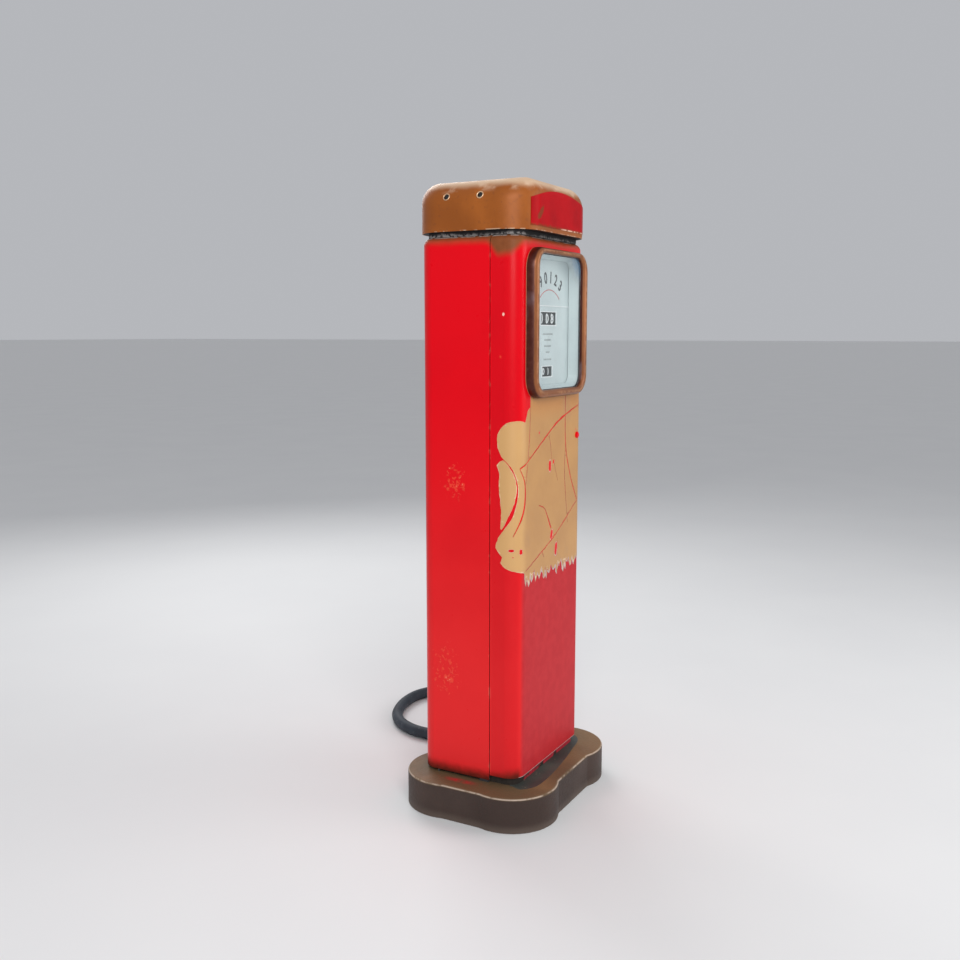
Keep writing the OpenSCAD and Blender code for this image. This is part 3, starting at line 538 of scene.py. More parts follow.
def window_glass():
    f = Finish("dial_glass_clear", Roughness=0.03, Coat_Weight=1.0, Coat_Roughness=0.02, IOR=1.5)
    dust = f.noise(20, 6)
    gloss = f.calc("POWER", f.node("LayerWeight", {"Blend": 0.5}).outputs["Facing"], 4.0)
    # Painted reflection: a blue tint that thickens towards the upper right of the glass.
    edge = f.plus(f.ramp(f.z, 1.56, 1.65), f.ramp(f.x, 0.06, 0.15))
    tint_and_reflection = f.mix(f.ramp(edge, 0.8, 1.8), rgb(206, 216, 218), rgb(122, 156, 182))
    alpha = f.plus(0.012, f.times(gloss, 0.4), f.times(f.ramp(dust, 0.45, 0.75), 0.03),
                   f.times(f.ramp(edge, 0.7, 1.9), 0.4))
    return f.done(tint_and_reflection, alpha=alpha)


def floor_finish():
    f = Finish("studio_floor", Roughness=0.8)
    return f.done(f.mix(f.noise(1.5, 3), rgb(226, 226, 226), rgb(232, 232, 231)))


RED = red_paint()
CAP_RED = cap_red()
CREAM = cream_paint()
CHALK = primer()
PLINTH = under_cover()
NECK = neck_dirt()
COPPER = bronze("copper_cap", rgb(170, 94, 32), rgb(146, 78, 24), 0.36, 0.12, cap_marks, 0.28)
BEZEL = bronze("copper_bezel", rgb(160, 98, 56), rgb(130, 76, 42), 0.24, 0.4, bezel_marks, 0.4)
# Pale copper for the rims of the cap's holes: chipped paint and a painted highlight.
RIM = bronze("copper_bright", rgb(232, 196, 158), rgb(206, 164, 128), 0.24, 0.5, no_marks, 0.4)
IRON = cast_iron_base()
DIAL = enamel("dial_white", rgb(200, 214, 214), rgb(188, 202, 203))
WHITE_LINE = enamel("line_white", rgb(232, 238, 238), rgb(222, 228, 228))
PRINT = enamel("print_grey", rgb(150, 158, 158), rgb(138, 146, 148))
LAMP = enamel("lamp_opal", rgb(240, 238, 226), rgb(228, 224, 208))
STEEL = metal("steel_bright", rgb(186, 188, 190), rgb(148, 150, 152), 0.25, (1, 1, 0.1))
FRAME = shop_paint("frame_grey", rgb(72, 72, 76), rgb(52, 52, 56), rgb(128, 112, 96))
BLACK = shop_paint("black_chipped", rgb(40, 38, 38), rgb(26, 26, 28), rgb(178, 170, 158), 0.4)
GREY = shop_paint("machine_grey", rgb(104, 112, 110), rgb(84, 92, 92), rgb(150, 130, 100))
PUMP_IRON = shop_paint("pump_iron", rgb(84, 78, 74), rgb(60, 54, 50), rgb(136, 96, 62), 0.5)
SEAT = shop_paint("seat_dark", rgb(78, 80, 72), rgb(58, 60, 56), rgb(120, 104, 80), 0.55)
ALUMINIUM = metal("cast_aluminium", rgb(196, 198, 198), rgb(158, 160, 162), 0.34)
BRASS = metal("brass_turned", rgb(206, 168, 92), rgb(164, 124, 60), 0.24, (1, 1, 6))
HOSE = rubber("hose_rubber", rgb(56, 63, 72), rgb(40, 46, 54), (1, 1, 0.35))
SEAL = rubber("seal_rubber", rgb(40, 42, 44), rgb(26, 28, 30))
WHEEL = rubber("wheel_black", rgb(34, 35, 38), rgb(20, 21, 24), rough=0.35)
INK = shop_paint("numeral_ink", rgb(58, 60, 64), rgb(44, 46, 50), rgb(120, 124, 126))
INK_RED = shop_paint("arc_red", rgb(196, 70, 66), rgb(170, 52, 50), rgb(214, 180, 176))
GLASS = window_glass()

# ---- hose ----

ROUTE = [
    (285, 100, 1035), (285, 100, 950), (287, 103, 850), (294, 111, 750), (305, 122, 650),
    (320, 136, 550), (337, 151, 450), (353, 166, 350), (367, 180, 265), (375, 190, 190),
    (372, 200, 120), (344, 224, 63), (299, 262, 29), (250, 305, 21), (217, 359, 21),
    (203, 425, 21), (210, 492, 21), (241, 558, 21), (286, 607, 21), (342, 642, 21),
    (424, 669, 21), (510, 675, 21), (578, 652, 21), (627, 605, 21), (652, 545, 21),
    (652, 485, 21), (630, 425, 21), (590, 366, 21), (545, 302, 21), (500, 238, 21),
    (455, 175, 25), (412, 115, 47), (379, 69, 104), (362, 46, 182), (354, 37, 262),
    (344, 30, 360), (332, 23, 470), (323, 19, 590), (318, 17.5, 700), (318, 17.5, 772)]
HOSE_R = 19.9
LIFT_FROM, LIFT_TO = 0.12, 0.70  # metres up the nozzle's leg over which the weights computed in make_hose rise from 0 to 1


def spline(points, step):
    """Points on a smooth curve through a route, a step apart or less."""
    p = [Vector(q) for q in points]
    p = [2 * p[0] - p[1]] + p + [2 * p[-1] - p[-2]]
    out = []
    for a, b, c, d in zip(p, p[1:], p[2:], p[3:]):
        count = max(1, round((c - b).length / step))
        for i in range(count):
            t = i / count
            out.append(0.5 * (2 * b + (c - a) * t + (2 * a - 5 * b + 4 * c - d) * t * t
                              + (3 * b - a - 3 * c + d) * t ** 3))
    return out + [p[-2]]


def tube(path, radius, sides):
    """A tube along a path. A ring's frame is carried on from the ring before, without twist."""
    side, rings = Vector((1, 0, 0)), []
    for i, here in enumerate(path):
        along = (path[min(i + 1, len(path) - 1)] - path[max(i - 1, 0)]).normalized()
        side = (side - side.dot(along) * along).normalized()
        up = along.cross(side)
        turn = [2 * math.pi * j / sides for j in range(sides)]
        rings.append([here + radius * (math.cos(a) * side + math.sin(a) * up) for a in turn])
    return loft(rings)


def make_hose():
    path = spline(ROUTE, 8)
    sides = 24
    obj = piece(raw_object("hose_tube", *tube(path, HOSE_R, sides)), None, HOSE,
                ["hose"], angle=60)
    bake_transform(obj)
    lowest = max(i for i, p in enumerate(path) if p.z < LIFT_FROM * 1000)
    weights = []
    for i, p in enumerate(path):
        t = 0.0 if i <= lowest else (p.z * MM - LIFT_FROM) / (LIFT_TO - LIFT_FROM)
        t = min(max(t, 0.0), 1.0)
        weights += [t * t * (3 - 2 * t)] * sides


make_hose()

# ---- cast base ----

BASE_H, LOBE_R, LOBE_X, LOBE_Y = 106, 141, 170, 100
FLAT_X, FLAT_Y, FILLET_R, RIM_R, BASE_WALL, DECK = 306, 227.5, 28, 8, 12, 14


def base_outline(d):
    """Outline of the base moved inwards by d: lobes, hollows between them, and flats."""
    reach = LOBE_R + FILLET_R
    side = (FLAT_X + FILLET_R, LOBE_Y - math.sqrt(reach ** 2 - (FLAT_X + FILLET_R - LOBE_X) ** 2))
    front = (LOBE_X - math.sqrt(reach ** 2 - (FLAT_Y + FILLET_R - LOBE_Y) ** 2), FLAT_Y + FILLET_R)
    low = math.degrees(math.atan2(side[1] - LOBE_Y, side[0] - LOBE_X))
    high = math.degrees(math.atan2(front[1] - LOBE_Y, front[0] - LOBE_X))
    corner = (arc(*side, FILLET_R + d, 180, 180 + low, 10)
              + arc(LOBE_X, LOBE_Y, LOBE_R - d, low, high, 44)[1:-1]
              + arc(*front, FILLET_R + d, high - 180, -90, 10))
    mirrored = [(-x, y) for x, y in reversed(corner)]
    half = corner + mirrored
    return half + [(-x, -y) for x, y in half]


def make_base():
    rings = [at_height(base_outline(BASE_WALL), BASE_H - DECK), at_height(base_outline(BASE_WALL), 0),
             at_height(base_outline(1.5), 0), at_height(base_outline(0), 1.5)]
    for a in range(0, 91, 9):
        turn = math.radians(a)
        rings.append(at_height(base_outline(RIM_R * (1 - math.cos(turn))),
                               BASE_H - RIM_R + RIM_R * math.sin(turn)))
    obj = raw_object("base_lobed", *loft(rings))
    carve(obj, [("DIFFERENCE", box((-130, -60, 0), (130, 160, BASE_H + 1))),
                ("DIFFERENCE", turned([(12, 0), (12, 120)], (200, 75, -5), (0, 0, 1), 32))])
    bosses = joined(*[turned([(14, 0), (14, 84)], (x, y, 10), (0, 0, 1), 24)
                      for x in (-167, 167) for y in (-40, 40)])
    piece(obj, "pump", IRON, ["base_casting"])
    piece(raw_object("base_bosses", *bosses), "pump", IRON)


make_base()

# ---- cabinet skins ----

SHOULDER, SHEET = 22, 2
DIAL_HX, DIAL_Z0, DIAL_Z1, DIAL_R = 153, 1270, 1655, 38


def skin(z0):
    """The pressed skin from a height up to its rounded top edge and inward flange."""
    low = BODY_TOP - SHOULDER
    turns = [math.radians(6 * i) for i in range(16)]
    profile = [(0, z0), (0, z0 + 40), (0, 700), (0, 1250)]
    profile += [(SHOULDER * (1 - math.cos(a)), low + SHOULDER * math.sin(a)) for a in turns]
    profile += [(36, BODY_TOP), (36, BODY_TOP - SHEET)]
    inner = SHOULDER - SHEET
    profile += [(SHOULDER - inner * math.cos(a), low + inner * math.sin(a)) for a in turns[::-1]]
    profile += [(SHEET, z0)]
    return loft([at_height(round_rect(-BODY_HX + d, BODY_HX - d, BODY_FRONT + d, BODY_BACK - d,
                                      BODY_R - d), z) for d, z in profile], loop=True)


def hole_x(y, z, r):
    return turned([(r, 0), (r, 40)], (200, y, z), (1, 0, 0), 40)


def make_skins():
    shell = raw_object("shell_rear", *skin(114))
    carve(shell, [("INTERSECT", box((-300, SEAM_Y + 1.0, 0), (300, 300, 2000))),
                  ("DIFFERENCE", box((200, -12, 1091), (240, 47, 1199))),
                  ("DIFFERENCE", hole_x(100, 1110, 20)), ("DIFFERENCE", hole_x(17.5, 1262, 7)),
                  ("DIFFERENCE", hole_x(0, 1400, 9))])
    piece(shell, "pump", RED, ["rear_shell"], bevel=1.1)
    door = raw_object("door_front", *skin(COVER_FOOT))
    opening = round_rect(-DIAL_HX - 3, DIAL_HX + 3, DIAL_Z0 - 2, DIAL_Z1 + 1, DIAL_R + 2)
    carve(door, [("INTERSECT", box((-300, -300, 0), (300, SEAM_Y - 1, 2000))),
                 ("DIFFERENCE", loft([facing(opening, 140), facing(opening, 160)])),
                 ("DIFFERENCE", turned([(7.1, 0), (7.1, 20)], (172, -140, 1117), (0, -1, 0), 32))])
    piece(door, "door", RED, ["door_panel"], bevel=1.1)


make_skins()

# ---- cap ----

CAP_HX, CAP_FRONT, CAP_BACK, CAP_R = 230, -166, 206, 95
CAP_Z0, CAP_PEAK, CAP_SAG, CAP_EDGE, CAP_SKIN = 1716, 1871, 26, 55, 3
SCREW_Y, SCREW_Z = (85.5, -22.5), 1811
INSERT_HX, INSERT_Z0, INSERT_H = 178, 1728, 105


def cap_top(x):
    return CAP_PEAK - CAP_SAG * (abs(x) / CAP_HX) ** 2.4


def cap_ring(d, s, drop, level=None):
    mid = (CAP_FRONT + CAP_BACK) / 2
    plan = round_rect(-CAP_HX + d, CAP_HX - d, CAP_FRONT + d, CAP_BACK - d, CAP_R - d, 26)
    return [(x * s, mid + (y - mid) * s, cap_top(x * s) - drop if level is None else level)
            for x, y in plan]


def dome(skin_in, z0):
    """Rings of the cap's outside, or of its inside at a skin's depth."""
    reach = CAP_EDGE - skin_in
    rings = [cap_ring(skin_in, 1, 0, z0)]
    for a in range(0, 91, 5):
        turn = math.radians(a)
        rings.append(cap_ring(skin_in + reach * (1 - math.cos(turn)), 1,
                              reach * (1 - math.sin(turn)) + skin_in))
    rings += [cap_ring(CAP_EDGE, s, skin_in) for s in (0.85, 0.7, 0.55, 0.4, 0.25)]
    return rings + [cap_ring(CAP_EDGE, 0.12, 0, CAP_PEAK - skin_in)]


def cap_face(x, z, out):
    """Depth of the cap's front at a place, moved outwards."""
    reach = CAP_EDGE + out
    drop = cap_top(x) + out - z
    sine = 1 - min(max(drop / reach, 0), 1)
    inset = -out + reach * (1 - math.sqrt(1 - sine * sine))
    beyond = max(abs(x) - (CAP_HX - CAP_R), 0)
    return CAP_FRONT + CAP_R - math.sqrt((CAP_R - inset) ** 2 - beyond ** 2)


def insert_top(x):
    return INSERT_Z0 + INSERT_H - 29 * (x / INSERT_HX) ** 2


def cap_panel(out, under):
    """A curved plate on the cap's front within the red panel's outline, from under to out."""
    nx, nz = 72, 22
    grid = []
    for lift in (out, under):
        for i in range(nx + 1):
            x = -INSERT_HX + 2 * INSERT_HX * i / nx
            for j in range(nz + 1):
                z = INSERT_Z0 + (insert_top(x) - INSERT_Z0) * j / nz
                grid.append((x, cap_face(x, z, lift), z))
    side, faces = (nx + 1) * (nz + 1), []
    for i in range(nx):
        for j in range(nz):
            a = i * (nz + 1) + j
            quad = (a, a + nz + 1, a + nz + 2, a + 1)
            faces += [quad, tuple(side + q for q in quad)]
    rim = ([(i * (nz + 1), (i + 1) * (nz + 1)) for i in range(nx)]
           + [(i * (nz + 1) + nz, (i + 1) * (nz + 1) + nz) for i in range(nx)]
           + [(j, j + 1) for j in range(nz)]
           + [(nx * (nz + 1) + j, nx * (nz + 1) + j + 1) for j in range(nz)])
    faces += [(a, b, side + b, side + a) for a, b in rim]
    return grid, faces


def make_cap():
    outer, inner = dome(0, CAP_Z0), dome(CAP_SKIN, CAP_Z0)
    obj = raw_object("cap_dome", *loft(inner[::-1] + outer))
    carve(obj, [("DIFFERENCE", turned([(8, 0), (8, 480)], (-240, y, SCREW_Z), (1, 0, 0), 40))
                for y in SCREW_Y])
    piece(obj, "pump", COPPER, ["cap"], bevel=0.8)
    piece(raw_object("cap_panel_red", *cap_panel(1.5, 0.1)), "pump", CAP_RED,
          ["cap_insert"], bevel=0.3)


make_cap()

# ---- bezel, dial and its markings ----


def bezel_ring(f, w):
    return facing(round_rect(-DIAL_HX - 34 * f, DIAL_HX + 34 * f, DIAL_Z0 - 24 * f,
                             DIAL_Z1 + 17 * f, DIAL_R + 24 * f, 24), w)


def make_dial_front():
    crown = [(0.15, 164), (0, 164), (0, 170), (0.03, 172.4), (0.1, 174.5), (0.2, 176.3),
             (0.3, 177.5), (0.42, 178), (0.55, 178), (0.67, 177), (0.78, 174.5), (0.87, 171),
             (0.93, 167), (0.98, 162), (1, 157), (1, 147), (0.15, 147)]
    obj = raw_object("bezel_ring", *loft([bezel_ring(f, w) for f, w in crown], loop=True))
    piece(obj, "door", BEZEL, ["bezel"], angle=50)
    walls = [(-2, 158.2), (0, 158.2), (0, 145), (14, 145), (14, 143), (0, 143), (-9, 129.5),
             (-11, 129.5)]
    rings = [facing(round_rect(-DIAL_HX - d, DIAL_HX + d, DIAL_Z0 - d, DIAL_Z1 + d, DIAL_R + d, 24),
                    w) for d, w in walls]
    piece(raw_object("surround_white", *loft(rings, loop=True)), "door", DIAL,
          ["dial_surround"])


make_dial_front()

DIAL_FACE = 128


def glyphs(text, height, squeeze, bold):
    """Flat mesh of figures, centred, as a bmesh with x to the right and y up."""
    curve = bpy.data.curves.new("figures", "FONT")
    curve.body, curve.align_x, curve.align_y = text, "CENTER", "CENTER"
    curve.size = height * 1.4
    curve.offset = height * bold
    obj = bpy.data.objects.new("figures", curve)
    SCENE.collection.objects.link(obj)
    bpy.context.view_layer.update()
    mesh = obj.to_mesh()
    bm = bmesh.new()
    bm.from_mesh(mesh)
    obj.to_mesh_clear()
    bpy.data.objects.remove(obj)
    low = min(v.co.y for v in bm.verts)
    high = max(v.co.y for v in bm.verts)
    for v in bm.verts:
        v.co.x *= squeeze
        v.co.y = (v.co.y - (low + high) / 2) * height / (high - low)
    return bm


def shape_of(bm, place):
    """Vertices and faces of a flat bmesh made a thin solid. place puts a point of layer 0 or 1."""
    bm.verts.index_update()
    flat = [(v.co.x, v.co.y) for v in bm.verts]
    faces = [tuple(v.index for v in f.verts) for f in bm.faces]
    edges = [tuple(v.index for v in e.verts) for e in bm.edges if len(e.link_faces) == 1]
    bm.free()
    n = len(flat)
    verts = [place(x, y, layer) for layer in (0, 1) for x, y in flat]
    faces += [tuple(i + n for i in f) for f in faces] + [(a, b, b + n, a + n) for a, b in edges]
    return verts, faces


def dial_mark(name, shapes, finish):
    piece(raw_object(name, *joined(*shapes)), "pump", finish, angle=30)


ARC_C, NUMERAL_R, NUMERAL_H, RED_ARC_R = (8, 1458), 136, 34, 100


def make_numerals():
    shapes = []
    for figure, turn in zip("90123", (-27, -12, 3, 18, 33)):
        bm = glyphs(figure, NUMERAL_H, 0.8, 0.03)
        s, c = math.sin(math.radians(turn)), math.cos(math.radians(turn))

        def place(x, y, layer):
            r = NUMERAL_R + y
            return (ARC_C[0] + x * c + r * s, -DIAL_FACE - 0.6 * layer, ARC_C[1] - x * s + r * c)

        shapes.append(shape_of(bm, place))
    dial_mark("dial_numerals", shapes, INK)
    outer = [arc(*ARC_C, r, 130, 48, 40) for r in (RED_ARC_R - 1.1, RED_ARC_R + 1.1)]
    band = outer[0] + outer[1][::-1]
    dial_mark("dial_red_arc", [loft([facing(band, DIAL_FACE), facing(band, DIAL_FACE + 0.5)])],
              INK_RED)


def dial_bar(x0, x1, z0, z1, out):
    return box((x0, -DIAL_FACE - out, z0), (x1, -DIAL_FACE + 0.2, z1))


def make_dial_marks():
    dice = random.Random(7)
    bars = []
    for z, reach in zip((1429, 1412, 1394, 1376, 1355), (34, 22, 24, 12, 26)):
        x = -3 - reach
        while x < -3 + reach:
            w = dice.uniform(2.5, 6)
            bars.append(dial_bar(x, min(x + w, -3 + reach), z - 2.4, z + 2.4, 0.4))
            x += w + dice.uniform(1.6, 3.2)
    dial_mark("dial_print_rows", bars, PRINT)
    # The ledge and the windows' frames are whiter than the dial: painted highlight along them.
    frames = [dial_bar(-150, 146, 1509.5, 1512.5, 2.2)]
    for x0, x1, z0, z1 in ((-52, 52, 1456, 1493), (-40, 27, 1305, 1334)):
        frames += [dial_bar(x0 - 3, x1 + 3, z0 - 3.5, z0, 1.6),
                   dial_bar(x0 - 3, x1 + 3, z1, z1 + 2.5, 1),
                   dial_bar(x0 - 3, x0, z0, z1, 1), dial_bar(x1, x1 + 3, z0, z1, 1.6)]
    dial_mark("dial_ledge_frames", frames, WHITE_LINE)


def wheel_figures(name, body, x, y, z, r, height, shown):
    """Ten figures round a number wheel, with the shown one at the front."""
    shapes = []
    for figure in range(10):
        bm = glyphs(str(figure), height, 0.95, 0.035)
        for k in range(-9, 10):
            bmesh.ops.bisect_plane(bm, geom=bm.verts[:] + bm.edges[:] + bm.faces[:],
                                   plane_co=(0, k * height / 20, 0), plane_no=(0, 1, 0))
        start = math.radians(36 * (figure - shown))

        def place(u, v, layer):
            a = start + v / r
            out = r + (-0.3, 0.25)[layer]
            return (x + u, y - out * math.cos(a), z + out * math.sin(a))

        shapes.append(shape_of(bm, place))
    piece(raw_object(name, *joined(*shapes)), body, WHITE_LINE, angle=30)


make_numerals()
make_dial_marks()
WHEELS = (  # kind, axis y and z, radius, height of a figure, and each wheel's x and shown figure
    ("sale", -67.5, 1474.5, 57, 29, ((34.5, 8), (0, 0), (-34.5, 1))),
    ("volume", -82.5, 1319.5, 42, 21, ((10, 1), (-23, 0))))
for kind, axis_y, axis_z, radius, tall, wheels in WHEELS:
    for number, (wheel_x, shows) in enumerate(wheels, 1):
        wheel_figures(f"{kind}_figures_{number}", f"{kind}_wheel_{number}", wheel_x, axis_y, axis_z,
                      radius, tall, shows)

# ---- flaking cream paint on the front cover ----

TURN = BODY_R * math.pi / 2  # length round a corner of the cabinet


def on_cover(u, z, out):
    """Place on the cover's outside: u is x on the front and runs on round both corners."""
    side = 1 if u > 0 else -1
    past = abs(u) - (BODY_HX - BODY_R)
    if past <= 0:
        return (u, BODY_FRONT - out, z)
    if past <= TURN:
        a, r = past / BODY_R, BODY_R + out
        return (side * (BODY_HX - BODY_R + r * math.sin(a)), BODY_FRONT + BODY_R - r * math.cos(a), z)
    return (side * (BODY_HX + out), BODY_FRONT + BODY_R + past - TURN, z)


def inside(p, loop):
    """Even-odd test of a point against a closed outline."""
    x, y = p
    odd = False
    for (ax, ay), (bx, by) in zip(loop, loop[1:] + loop[:1]):
        if (ay > y) != (by > y) and x < (bx - ax) * (y - ay) / (by - ay) + ax:
            odd = not odd
    return odd


def ragged(points, step, rough, dice, closed=True):
    """Splits an outline's edges and moves the new points a little to and fro."""
    out = []
    pairs = zip(points, points[1:] + points[:1]) if closed else zip(points, points[1:])
    for (ax, ay), (bx, by) in pairs:
        count = max(1, int(math.hypot(bx - ax, by - ay) / step))
        for i in range(count):
            t = i / count
            shift = dice.uniform(-rough, rough) if i else 0
            length = math.hypot(bx - ax, by - ay)
            out.append((ax + (bx - ax) * t - (by - ay) / length * shift,
                        ay + (by - ay) * t + (bx - ax) / length * shift))
    return out if closed else out + [points[-1]]


def scratch(points, widths):
    """Outline of a scratch that follows points and has a width at each of them."""
    left, right = [], []
    last = len(points) - 1
    for i, ((x, y), w) in enumerate(zip(points, widths)):
        (ax, ay), (bx, by) = points[max(i - 1, 0)], points[min(i + 1, last)]
        length = math.hypot(bx - ax, by - ay)
        nx, ny = -(by - ay) / length * w / 2, (bx - ax) / length * w / 2
        left.append((x + nx, y + ny))
        right.append((x - nx, y - ny))
    return left + right[::-1]


def wavy(points, step=14):
    return [(p.x, p.y) for p in spline([(x, y, 0) for x, y in points], step)]


def tear(x, z, half_w, half_h, lean, dice):
    """A small rounded hole in the paint."""
    out = []
    for k in range(14):
        a = 2 * math.pi * k / 14
        w = half_w * (0.75 + 0.25 * abs(math.sin(a))) * dice.uniform(0.85, 1.15)
        out.append((x + w * math.cos(a) + lean * math.sin(a) * half_h, z + half_h * math.sin(a)))
    return out


def flake(name, outlines, holes, lift, thickness, finish, scratches):
    """A layer of paint on the cover within outlines, without holes, with real edges.

    Points along the outlines carry the mark "rim", and those along the first scratches "cut"."""
    grid = 9.0
    long_cuts = sum(len(loop) for loop in holes[:scratches])
    verts, edges = [], []
    for loop in outlines + holes:
        first = len(verts)
        verts += [Vector(p) for p in loop]
        edges += [(first + i, first + (i + 1) % len(loop)) for i in range(len(loop))]
    lo = [min(p[i] for loop in outlines for p in loop) for i in (0, 1)]
    hi = [max(p[i] for loop in outlines for p in loop) for i in (0, 1)]
    for i in range(int((hi[0] - lo[0]) / grid) + 1):
        for j in range(int((hi[1] - lo[1]) / (2 * grid)) + 1):
            verts.append(Vector((lo[0] + (i + 0.3) * grid, lo[1] + (j + 0.3) * 2 * grid)))
    points, _, triangles, *_ = delaunay_2d_cdt(verts, edges, [], 0, 1e-4)
    kept = []
    for t in triangles:
        c = [sum(points[i][k] for i in t) / 3 for k in (0, 1)]
        if any(inside(c, loop) for loop in outlines) and not any(inside(c, loop) for loop in holes):
            kept.append(tuple(t))
    n = len(points)
    sides = {}
    for t in kept:
        for a, b in zip(t, t[1:] + t[:1]):
            key = (min(a, b), max(a, b))
            sides[key] = None if key in sides else (a, b)
    rim = [pair for pair in sides.values() if pair]
    faces = kept + [tuple(n + i for i in t) for t in kept] + [(a, b, n + b, n + a) for a, b in rim]
    outer = sum(len(loop) for loop in outlines)
    on_rim = {i for pair in rim for i in pair if i < outer}
    on_cut = {i for pair in rim for i in pair if outer <= i < outer + long_cuts}
    solid = [on_cover(p[0], p[1], lift + thickness) for p in points] + [
        on_cover(p[0], p[1], lift) for p in points]
    used = sorted({i for f in faces for i in f})
    number = {old: new for new, old in enumerate(used)}
    obj = raw_object(name, [solid[i] for i in used], [tuple(number[i] for i in f) for f in faces])
    for label, marked in (("rim", on_rim), ("cut", on_cut)):
        mark = obj.data.attributes.new(label, "FLOAT", "POINT")
        mark.data.foreach_set("value", [1.0 if i % n in marked else 0.0 for i in used])
    piece(obj, "door", finish, angle=28)


def shrunk(loop, share):
    """A closed outline drawn in towards its middle."""
    cx, cz = np.mean(loop, axis=0)
    return [(x + (x - cx) * -share, z + (z - cz) * -share) for x, z in loop]


def torn_edge(u, end, z, dice):
    """A torn lower edge from right to left: uneven teeth that hang from a height."""
    out = []
    while u > end:
        out.append((u, z + dice.uniform(2, 18)))
        u -= dice.uniform(6, 18)
        out.append((u, z - dice.uniform(6, 26)))
        u -= dice.uniform(6, 18)
    return out


def make_cream():
    """The cream patch, its scratches and the primer along its edges.

    The places on the front and the left corner are rounded from points that a program projected from
    the photograph. The torn edge and the right edge are invented."""
    dice = random.Random(21)
    under_bezel = [(-155, 1262), (150, 1262), (172, 1290)]
    right = wavy([(200, 1280), (222, 1200), (214, 1130), (228, 1050), (220, 970), (232, 880),
                  (226, 790), (205, 735), (180, 725)])
    corner_low = wavy([(-185, 745), (-240, 760), (-262, 778), (-257, 795), (-278, 820), (-270, 850)])
    bay = wavy([(-255, 870), (-225, 915), (-210, 985), (-225, 1045), (-260, 1085)])
    corner_top = wavy([(-272, 1110), (-272, 1148), (-245, 1180), (-205, 1186), (-185, 1180),
                       (-172, 1212), (-156, 1222)])
    main = ragged(right + torn_edge(176, -180, 730, dice) + corner_low, 7, 1.2, dice, False)
    main += ragged(bay, 10, 0.8, dice, False) + ragged(corner_top, 7, 1.2, dice, False) + under_bezel
    crescent = ragged(wavy([(-275, 1060), (-255, 1075), (-230, 1045), (-215, 1000), (-225, 945),
                            (-260, 875), (-260, 925), (-268, 1000), (-266, 1035), (-275, 1060)])[:-1],
                      7, 1.0, dice)
    lines = [
        ([(-155, 1258), (-160, 1140), (-180, 1010)], (2.6, 2.4, 2.4)),
        ([(-205, 1050), (-185, 1000), (-190, 930), (-225, 855)], (1.5, 4, 6, 1)),
        ([(200, 1215), (50, 1175), (-40, 1135), (-205, 1050)], (2, 5, 4, 3)),
        ([(85, 1258), (90, 1100), (125, 1000), (180, 910)], (3, 4, 5, 3)),
        ([(180, 910), (20, 825), (-180, 750)], (2.5, 3.4, 2)),
        ([(88, 1090), (85, 1000), (110, 850)], (2, 3, 1)),
        ([(-35, 1140), (-20, 1110), (-10, 1060)], (1.4, 2, 1.8)),
        ([(5, 1055), (20, 1020), (35, 990)], (1.5, 1.6, 1)),
        ([(-95, 930), (-55, 915), (-10, 850)], (1.2, 2.6, 6)),
        ([(-70, 790), (-60, 770)], (3, 1)),
        ([(40, 810), (30, 780)], (1, 4))]
    holes = []
    for points, widths in lines:
        fine = wavy(points)
        share = np.linspace(0, len(widths) - 1, len(fine))
        width = [float(np.interp(s, range(len(widths)), widths)) * dice.uniform(0.8, 1.2)
                 for s in share]
        holes.append(scratch(fine, width))
    for x, z, w, h, lean in ((-20, 1040, 12, 20, 0), (5, 1050, 8, 8, 0.3), (-5, 830, 12, 17, 0.2),
                             (28, 780, 13, 23, 0.1), (-230, 815, 12, 5, 0), (-200, 810, 8, 9, 0),
                             (-95, 1145, 5, 5, 0), (-225, 795, 3, 2, 0), (168, 1135, 4, 3, 0)):
        holes.append(tear(x, z, w, h, lean, dice))
    flake("cream_patch", [main, crescent], holes, 0.45, 0.5, CREAM, len(lines))
    pale = []
    for loop, low_extra in ((main, 7.0), (crescent, 1.0)):
        grown = []
        for (ax, az), (x, z), (bx, bz) in zip(loop[-1:] + loop[:-1], loop, loop[1:] + loop[:1]):
            length = math.hypot(bx - ax, bz - az) or 1
            torn = low_extra * dice.random() if z < 745 and x > -184 else 0
            reach = dice.uniform(0.1, 0.9) + torn
            grown.append((x - (bz - az) / length * reach, z + (bx - ax) / length * reach))
        pale.append(grown)
    small = [shrunk(hole, 0.16) for hole in holes[len(lines):]]
    flake("primer_edges", pale, small + holes[:len(lines)], 0.05, 0.38, CHALK, 0)


make_cream()

# ---- small parts ----


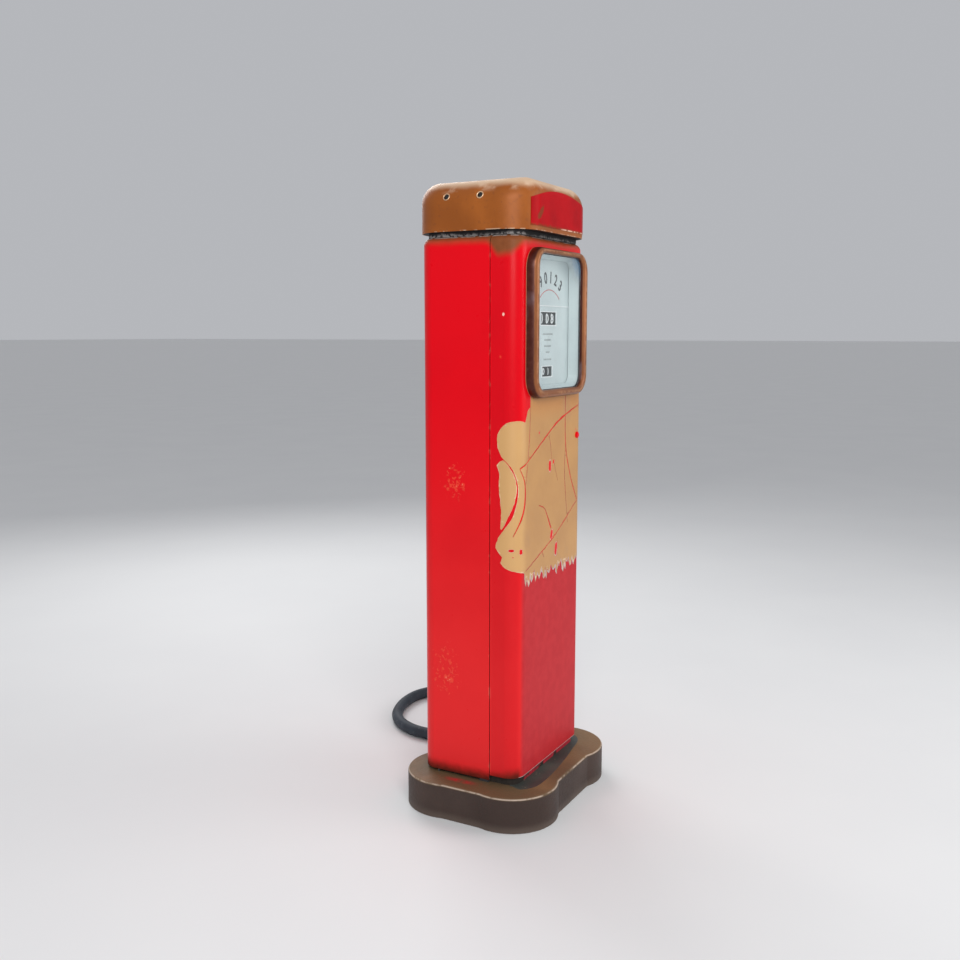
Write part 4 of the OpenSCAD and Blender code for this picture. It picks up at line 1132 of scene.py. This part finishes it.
def make_trims():
    """Screw heads on the fittings, pale rims of the cap's holes, and a dark seat patch on the base."""
    heads = [(231.5, 17.5 + y, z) for y in (-31, 31) for z in (1088, 1202, 962, 1052)]
    shapes = [turned([(5, -0.5), (5, 0.8), (3.4, 2.4), (1.2, 2.9)], p, (1, 0, 0), 20) for p in heads]
    piece(raw_object("fitting_screws", *joined(*shapes)), "pump", STEEL)
    # Pale rims round the cap's holes: chipped paint and a painted highlight.
    rims = []
    for side in (-1, 1):
        lean = Vector((side * math.cos(math.radians(22.5)), 0, math.sin(math.radians(22.5))))
        for y in SCREW_Y:
            centre = Vector((side * 225.6, y, SCREW_Z + 0.6))
            across = lean.orthogonal().normalized()
            up = lean.cross(across)
            loop = [centre + 9.4 * (math.cos(a) * across + math.sin(a) * up)
                    for a in [2 * math.pi * i / 40 for i in range(40)]]
            ring = []
            for i, p in enumerate(loop):
                radial = (p - centre).normalized()
                ring.append([p + 1.7 * (math.cos(b) * radial + math.sin(b) * lean)
                             for b in [2 * math.pi * k / 10 for k in range(10)]])
            rims.append(loft(ring, loop=True))
    piece(raw_object("cap_hole_rims", *joined(*rims)), "pump", RIM)
    # The first nine points were printed by a program that projected them from the photograph.
    # A dark patch on the base's top in front of the cabinet.
    seat = [(-215, -127), (-224, -155), (-187, -186), (-131, -192), (-54, -189), (42, -179),
            (126, -166), (206, -152), (240, -123), (200, -112), (0, -108), (-200, -112)]
    outline = [(p.x, p.y) for p in spline([(x, y, 0) for x, y in seat + seat[:1]], 12)][:-1]
    rings = [at_height(outline, BASE_H - 0.2), at_height(outline, BASE_H + 0.3)]
    piece(raw_object("base_seat_patch", *loft(rings)), "pump", SEAT)


make_trims()

# ---- finishes and softened edges of the CAD nodes that stay ----

CAD_FINISHES = (
    (FRAME, ("anchor_frame", "frame_posts", "machine_shelf", "meter_shelf", "register_shelf",
             "motor_pulley", "pump_pulley", "switch_box")),
    (STEEL, ("hinge_brackets", "lock_keeper", "door_lugs", "register_frame", "meter_shaft",
             "conduits", "nozzle_spout", "nozzle_lever")),
    (ALUMINIUM, ("meter", "switch_lever", "reset_bushing", "outlet_elbow", "nozzle_body",
                 "nozzle_guard", "nozzle_boot", "nozzle_fork")),
    (WHEEL, [f"{kind}_wheel_{number}" for kind, count in (("sale", 3), ("volume", 2))
             for number in range(1, count + 1)]),
    (GREY, ("register_gearbox", "motor", "air_separator", "junction_box")),
    (PUMP_IRON, ("pump_unit", "suction_pipe", "delivery_pipe")),
    (BRASS, ("strainer_plug", "outlet_ferrule", "nozzle_ferrule")),
    (BLACK, ("cap_screws", "reset_knob")), (SEAL, ("glass_gasket", "drive_belt")),
    (PLINTH, ("plinth",)), (NECK, ("neck_frame",)), (GLASS, ("glass",)), (RED, ("cover_lock",)),
    (DIAL, ("dial_plate",)), (LAMP, ("dial_lamp",)))
UNBEVELLED = {"glass", "glass_gasket", "dial_plate", "cap_screws"}


def dress_node(name, finish):
    node = NODES[name]
    for i in range(max(1, len(node.data.materials))):
        if len(node.data.materials):
            node.data.materials[i] = finish
        else:
            node.data.materials.append(finish)
    smooth(node.data, 30)
    if name not in UNBEVELLED:
        soften_edges(node, 0.8)


for node_finish, node_names in CAD_FINISHES:
    for node_name in node_names:
        dress_node(node_name, node_finish)

# ---- floor and light ----

FLOOR = 200000  # half a side: the floor runs to the horizon
floor = raw_object("floor", [(-FLOOR, -FLOOR, 0), (FLOOR, -FLOOR, 0), (FLOOR, FLOOR, 0),
                             (-FLOOR, FLOOR, 0)], [(0, 1, 2, 3)])
floor.data.materials.append(floor_finish())

world = bpy.data.worlds.new("studio")
world.use_nodes = True
world.node_tree.nodes["Background"].inputs["Color"].default_value = (0.93, 0.95, 1.0, 1.0)
world.node_tree.nodes["Background"].inputs["Strength"].default_value = 0.5
SCENE.world = world


def area_light(name, place, target, size, power):
    lamp = bpy.data.lights.new(name, "AREA")
    lamp.shape, lamp.size, lamp.size_y, lamp.energy = "RECTANGLE", *size, power
    obj = bpy.data.objects.new(name, lamp)
    obj.location = place
    obj.rotation_euler = (Vector(target) - Vector(place)).to_track_quat("-Z", "Y").to_euler()
    SCENE.collection.objects.link(obj)


area_light("key", (-3.4, -2.4, 3.2), (0, 0, 1.0), (2.2, 2.6), 120)
area_light("fill", (1.8, -3.6, 2.2), (0, 0, 1.0), (2.4, 2.4), 45)
area_light("rear", (2.4, 3.0, 3.4), (0, 0, 0.9), (2.4, 2.4), 80)
